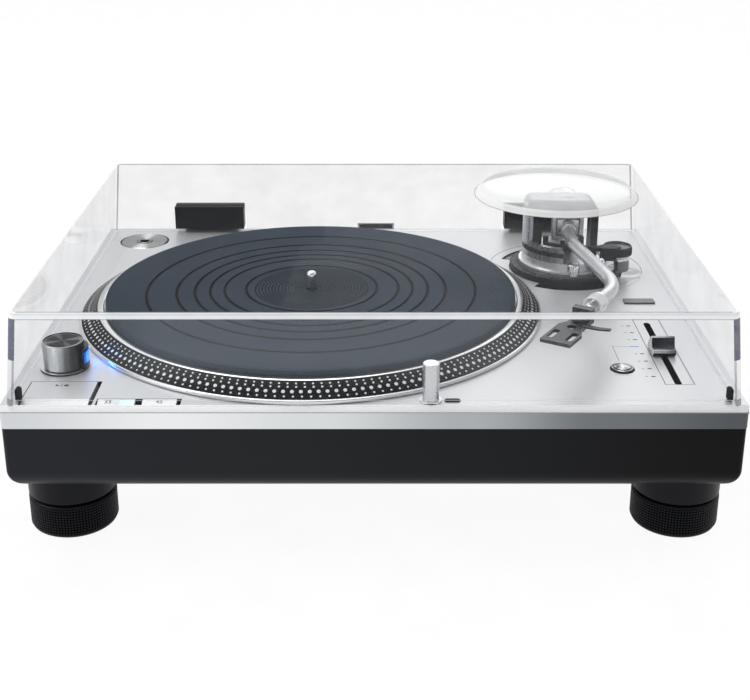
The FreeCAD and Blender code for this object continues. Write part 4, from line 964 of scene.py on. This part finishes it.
# the chrome top carries painted highlight wedges
M["reset"] = conic_painted_highlight("reset_chrome", (RX, RY), (0.80, 0.82, 0.83), 0.16, 1.0, [(0.0, 0.55), (1.0, 0.55), (0.1, 0.5), (0.22, 1.25), (0.32, 0.6), (0.5, 0.5), (0.66, 0.6), (0.76, 1.2), (0.88, 0.5)])
lathe(bm, [(0, -15.8), (3.0, -15.8), (3.0, -5.0), (7.45, -5.0), (7.45, 0.5), (7.25, 0.95), (6.9, 1.2), (6.1, 1.35), (5.9, 1.15), (5.6, 1.2), (5.3, 1.75), (4.6, 2.0), (2.2, 2.35), (0, 2.45)], at(RX, RY, ZD), 96, [2, 2, 2, 2, 1, 1, 0, 0, 1, 1, 0, 0, 0])
piece(bm, "reset_button_cap", ["reset", "dark", "black"], "reset_button", ("reset_button",))
refined("target_light_release", "light_release_cap", ["black"], bevel=0.25)
refined("target_light_sleeve", "light_sleeve", ["satin", "black"], bevel=0.25)
refined("target_light", "target_light_post", ["satin", "tube"], lambda c, n: 1 if abs(n.z) < 0.5 else 0, bevel=0.0)

# pitch knob: concave dark top, bright back edge and front lip; the top and lip change tone along X as painted shading
# and painted highlight, and its lowest faces and front underside are black, the underside as painted shade
refined("pitch_knob", "pitch_knob_cap", ["knob_face", "knob_lip", "black", "satin"], lambda c, n: 2 if c.z < ZD + 0.75 or (c.y < -109.8 and n.z < -0.02) else (3 if abs(n.x) > 0.9 else (1 if (c.y > -103.9 and n.z > 0.1) or (c.y < -106.7 and n.z > -0.02) else 0)), bevel=0.25, seg=2)

# ------------------------------------------------------------------ prints and lines on the deck
bm = bmesh.new()
z = ZD + 0.03
ys = [-42.5, -55.9, -68.2, -80.4, -92.6, -104.6, -116.6, -128.6, -140.6]
for i, y in enumerate(ys):
    if i == 4:
        bar(bm, 171.6, 177.6, y - 0.6, y + 0.6, z, 1)
    elif i > 0:
        bar(bm, 176.0, 178.7, y - 0.6, y + 0.6, z, 0)
        bar(bm, 172.4, 173.9, y - 0.35, y + 0.35, z, 2)
frame_line(bm, 182.3, 200.8, -153.0, -42.5, z, 0.45, 2)
bar(bm, 182.3, 200.8, -43.6, -42.5, z + 0.01, 2)
bar(bm, 200.2, 201.3, -153.0, -42.5, z + 0.01, 3)
bar(bm, 159.8, 160.1, -116.4, -91.4, z, 2)
bar(bm, 160.0, 172.0, -92.7, -92.4, z, 2)
piece(bm, "deck_print", ["print", "bluemark", "print_grey", "deck_line"], "chassis", recalc=False)
bm = bmesh.new()
# dark sheets down both walls of the fader slot: painted shade
for s in (-1, 1):
    rbox(bm, 190.8 + s * 2.15 - 0.04, 190.8 + s * 2.15 + 0.04, -151.0, -52.0, ZD - 13.8, ZD - 0.15, bev=0)
piece(bm, "fader_slot_painted_shade", ["pocket"], "chassis")
refined("blank_plate", "arm_side_plate", ["dark", "plate_mid"], lambda c, n: 1 if n.z > 0.5 else 0, bevel=0.3, bev_mat=0)

# ------------------------------------------------------------------ tonearm base
# the recess round the base takes the pocket's painted shade, with a grey sector of its floor at the back left as
# painted light
def base_pick(c, n):
    d = math.hypot(c.x - PX, c.y - PY)
    h = c.z - ZD
    a = math.degrees(math.atan2(c.y - PY, c.x - PX)) % 360
    if math.hypot(c.x - PX - 47, c.y - PY + 14) < 25 and d > 44 and h < -0.2:
        return 2
    if d < 44.3 and abs(n.z) < 0.5:
        return 1
    if h < -0.4 and 120 < a < 165 and n.z > 0.3:
        return 3
    if h < -0.3:
        return 1
    return 0


refined("tonearm_base_plate", "arm_base_plate", ["deck", "pocket", "dish", "ygrey"], base_pick, bevel=0.25, seg=3)
bm = bmesh.new()
lathe(bm, closed([(36.9, -9.3), (42.6, -9.3), (42.6, 0.2), (43.3, 0.4, 0.35), (43.5, 0.9, 0.4), (43.5, 3.9, 0.4), (43.2, 4.4, 0.35), (42.6, 4.6), (38.2, 4.6), (37.4, 4.3), (36.9, 3.8)]), at(PX, PY, ZD), 220, 0)
for k in range(28):
    a = 2 * math.pi * (k / 28.0)
    mt = at(PX, PY, ZD + 4.63) @ Matrix.Rotation(a, 4, "Z")
    ln = 2.6 if k % 4 == 0 else 1.5
    flat(bm, [mt @ Vector(p) for p in ((42.2 - ln, -0.13, 0), (42.2, -0.13, 0), (42.2, 0.13, 0), (42.2 - ln, 0.13, 0))], 1)
piece(bm, "height_scale_ring", ["blackmetal", "white"], "height_ring", ("height_ring",), recalc=False)
refined("arm_base_drum", "arm_drum", ["satin", "ygrey"], bevel=0.4, seg=3)
bm = bmesh.new()
pts = arc_pts(PX, PY, 36.86, 200, 320, 60)
for (xa, ya), (xb, yb) in zip(pts, pts[1:]):
    flat(bm, [(xa, ya, ZD + 5.9), (xb, yb, ZD + 5.9), (xb, yb, ZD + 6.25), (xa, ya, ZD + 6.25)])
piece(bm, "drum_scale_line", ["print"], "arm_base")


# the yoke's right-hand side is dark as painted shade; its inner body below the bridge takes the same dark colour
def yoke_pick(c, n):
    x, y, h = c.x - PX, c.y - PY, c.z - ZD
    if x > 14.5 and h < 57.0:
        return 1
    if h < 46.0 and h > 14.2 and math.hypot(x, y) < 30.6:
        return 1
    if 18.3 < h < 22.9 and x < 2 and 32.5 < math.hypot(x, y) < 34.3:
        return 2
    return 0


refined("gimbal_yoke", "yoke_casting", ["ygrey", "ydark", "black"], yoke_pick, bevel=0.5, seg=3)
refined("arm_rest", "arm_rest_set", ["black", "black_gloss"], bevel=0.5, seg=3)
refined("anti_skate_bracket", "anti_skate_mount", ["satin", "grey"], lambda c, n: 1 if math.hypot(c.x - 187, c.y - 48.4) < 10.2 and c.z < ZD + 13.9 else 0, bevel=0.3)
bm = bmesh.new()
for sx_, sy_ in ((181.0, 61.5),):
    m = at(sx_, sy_, ZD + 16.25)
    lathe(bm, [(0, 0.0), (2.3, 0.0), (2.3, 0.6), (2.0, 1.0), (0.9, 1.15), (0.9, 0.5), (0, 0.5)], m, 36, 0)
piece(bm, "bracket_screw", ["chrome"], "arm_base")

bm = bmesh.new()
lathe(bm, [(0, 5.2), (4.3, 5.2), (4.3, 5.4), (4.3, 6.0, 0.35), (4.3, 13.2, 0.35), (3.9, 14.1, 0.2), (3.4, 14.5), (2.9, 14.6), (0, 14.35)], at(151.5, 33.2, ZD), 48, 0)
piece(bm, "lock_knob", ["chrome"], "height_lock", ("height_lock",))
bm = bmesh.new()
AKX, AKY = 187.0, 48.4
lathe(bm, [(0, 17.7), (10.9, 17.7), (11.3, 18.1, 0.3), (11.3, 22.9, 0.35), (11.1, 23.6, 0.2), (10.7, 24.3), (10.2, 24.4), (9.7, 24.1), (8.9, 23.0), (7.4, 22.6), (3.0, 22.5), (2.8, 23.2), (2.2, 23.4), (0, 23.4)], at(AKX, AKY, ZD), 120, [0, 0, 0, 0, 0, 0, 0, 1, 1, 1, 1, 0, 0])
for k in range(8):
    a = math.radians(200 + 40 * k)
    mt = at(AKX, AKY, ZD + 24.43) @ Matrix.Rotation(a, 4, "Z")
    flat(bm, [mt @ Vector(p) for p in ((10.0, -0.15, 0), (10.65, -0.15, 0), (10.65, 0.15, 0), (10.0, 0.15, 0))], 2)
piece(bm, "anti_skate_knob", ["blackmetal", "black_gloss", "white"], "anti_skate_dial", ("anti_skate_dial",), recalc=False)
refined("cue_lever", "cue_lever_rod", ["chrome"], bevel=0.0, smooth=40)
refined("cue_lift_rail", "cue_rail", ["black"], bevel=0.4, seg=3)
refined("gimbal_frame", "gimbal_ring", ["satin", "ygrey"], bevel=0.5, seg=3)

# ------------------------------------------------------------------ arm: swept tube, bearing block, rear shaft
def fillet(pts, rads):
    out = [pts[0].copy()]
    for i in range(1, len(pts) - 1):
        a, b, c = pts[i - 1], pts[i], pts[i + 1]
        u, v = (a - b).normalized(), (c - b).normalized()
        ang = u.angle(v)
        d = rads[i - 1] / math.tan(ang / 2)
        p0, p1 = b + u * d, b + v * d
        cen = b + (u + v).normalized() * (rads[i - 1] / math.sin(ang / 2))
        w0, w1 = p0 - cen, p1 - cen
        tot = w0.angle(w1)
        ax = w0.cross(w1).normalized()
        n = 22
        for k in range(n + 1):
            out.append(cen + Matrix.Rotation(tot * k / n, 3, ax) @ w0)
    out.append(pts[-1].copy())
    return out


T0 = P - REAR * 12.0
path = fillet([T0, Vector((147.5, 24.0, ZA)), Vector((164.8, -71.0, ZA)), TE], [75.0, 55.0])
bm = bmesh.new()
sweep(bm, path, 4.8, 44, 0)
rbox(bm, -8.6, 8.6, -6.0, 6.0, -6.2, 6.2, ARM, bev=0.8, seg=3, mat=1)
BACK = orient(P, REAR)
lathe(bm, [(0, -17.5), (4.9, -17.5), (5.7, -17.2), (6.0, -16.6), (6.0, -13.4), (5.7, -13.0), (5.3, -12.8), (5.3, -12.2), (5.8, -12.0), (6.0, -11.4), (6.0, -6.5), (5.4, -5.9), (0, -5.9)], BACK, 64, [1] * 12)
lathe(bm, [(0, 5.6), (4.0, 5.6), (4.0, 69.6), (3.6, 70.0), (0, 70.0)], BACK, 48, 2)
piece(bm, "tonearm_tube", ["tube", "satin", "steel"], "arm_tube", ("arm_tube",))

# knurled collar that locks the headshell
COL = orient(TE + D2 * 0.3, D2)
bm = bmesh.new()
kn = []
for j in range(9):
    kn.append((7.1 - (0.32 if j % 2 else 0.0), 1.3 + j * 1.25, 0.3))
lathe(bm, closed([(4.9, 0.0), (6.5, 0.0), (6.9, 0.3), (6.9, 0.9)] + kn + [(6.9, 12.2), (6.9, 12.8), (6.4, 13.5), (4.9, 13.5)]), COL, 72, 0)
piece(bm, "collar_knurled", ["steel"], "headshell_collar", ("headshell_collar",), smooth=18)


# the side walls under the plate take the pocket's painted shade
def shell_holes(c, n):
    l = SHELL.inverted() @ c
    if 44.9 < l.y and math.hypot(l.x, l.z) < 4.3:
        return 2
    if abs(n.z) < 0.5 and l.z < -2.5 and abs(l.x) < 8.2 and 4.0 < l.y < 38.5:
        return 3
    return 0


refined("headshell", "headshell_plate", ["dark", "satin", "steel", "pocket"], shell_holes, bevel=0.35, seg=2, bev_mat=1)

bm = bmesh.new()
lathe(bm, [(4.07, 32.0), (8.4, 32.0), (9.0, 32.6), (9.0, 57.4), (8.4, 58.0), (4.07, 58.0), (4.07, 32.0)], BACK, 64, 0)
piece(bm, "weight_bush", ["black"], "counterweight_bush", ("counterweight_bush",))
bm = bmesh.new()
lathe(bm, closed([(9.07, 39.7), (14.2, 39.7), (14.75, 40.0), (15.0, 40.6), (15.0, 42.0), (14.6, 42.2), (14.6, 42.7), (15.0, 42.9, 0.28), (15.0, 52.6, 0.28), (14.6, 52.8), (14.6, 53.3), (15.0, 53.5), (15.0, 57.3), (14.6, 58.0), (13.6, 58.2), (12.4, 58.0), (11.8, 57.6), (9.07, 57.6)]), BACK, 160, 0)
piece(bm, "weight_turned", ["steel"], "counterweight", ("counterweight",), smooth=22)
bm = bmesh.new()
lathe(bm, closed([(9.07, 33.0), (13.6, 33.0), (14.4, 33.3), (14.5, 33.8, 0.3), (14.5, 38.6, 0.3), (14.3, 39.2), (13.6, 39.4), (9.07, 39.4)]), BACK, 120, 0)
for k in range(10):
    a = 2 * math.pi * k / 10
    mt = BACK @ Matrix.Rotation(a, 4, "Z")
    flat(bm, [mt @ Vector(p) for p in ((14.52, -0.15, 36.6), (14.52, 0.15, 36.6), (14.52, 0.15, 38.4), (14.52, -0.15, 38.4))], 1)
piece(bm, "force_ring_scale", ["blackmetal", "white"], "stylus_force_ring", ("stylus_force_ring",), recalc=False)
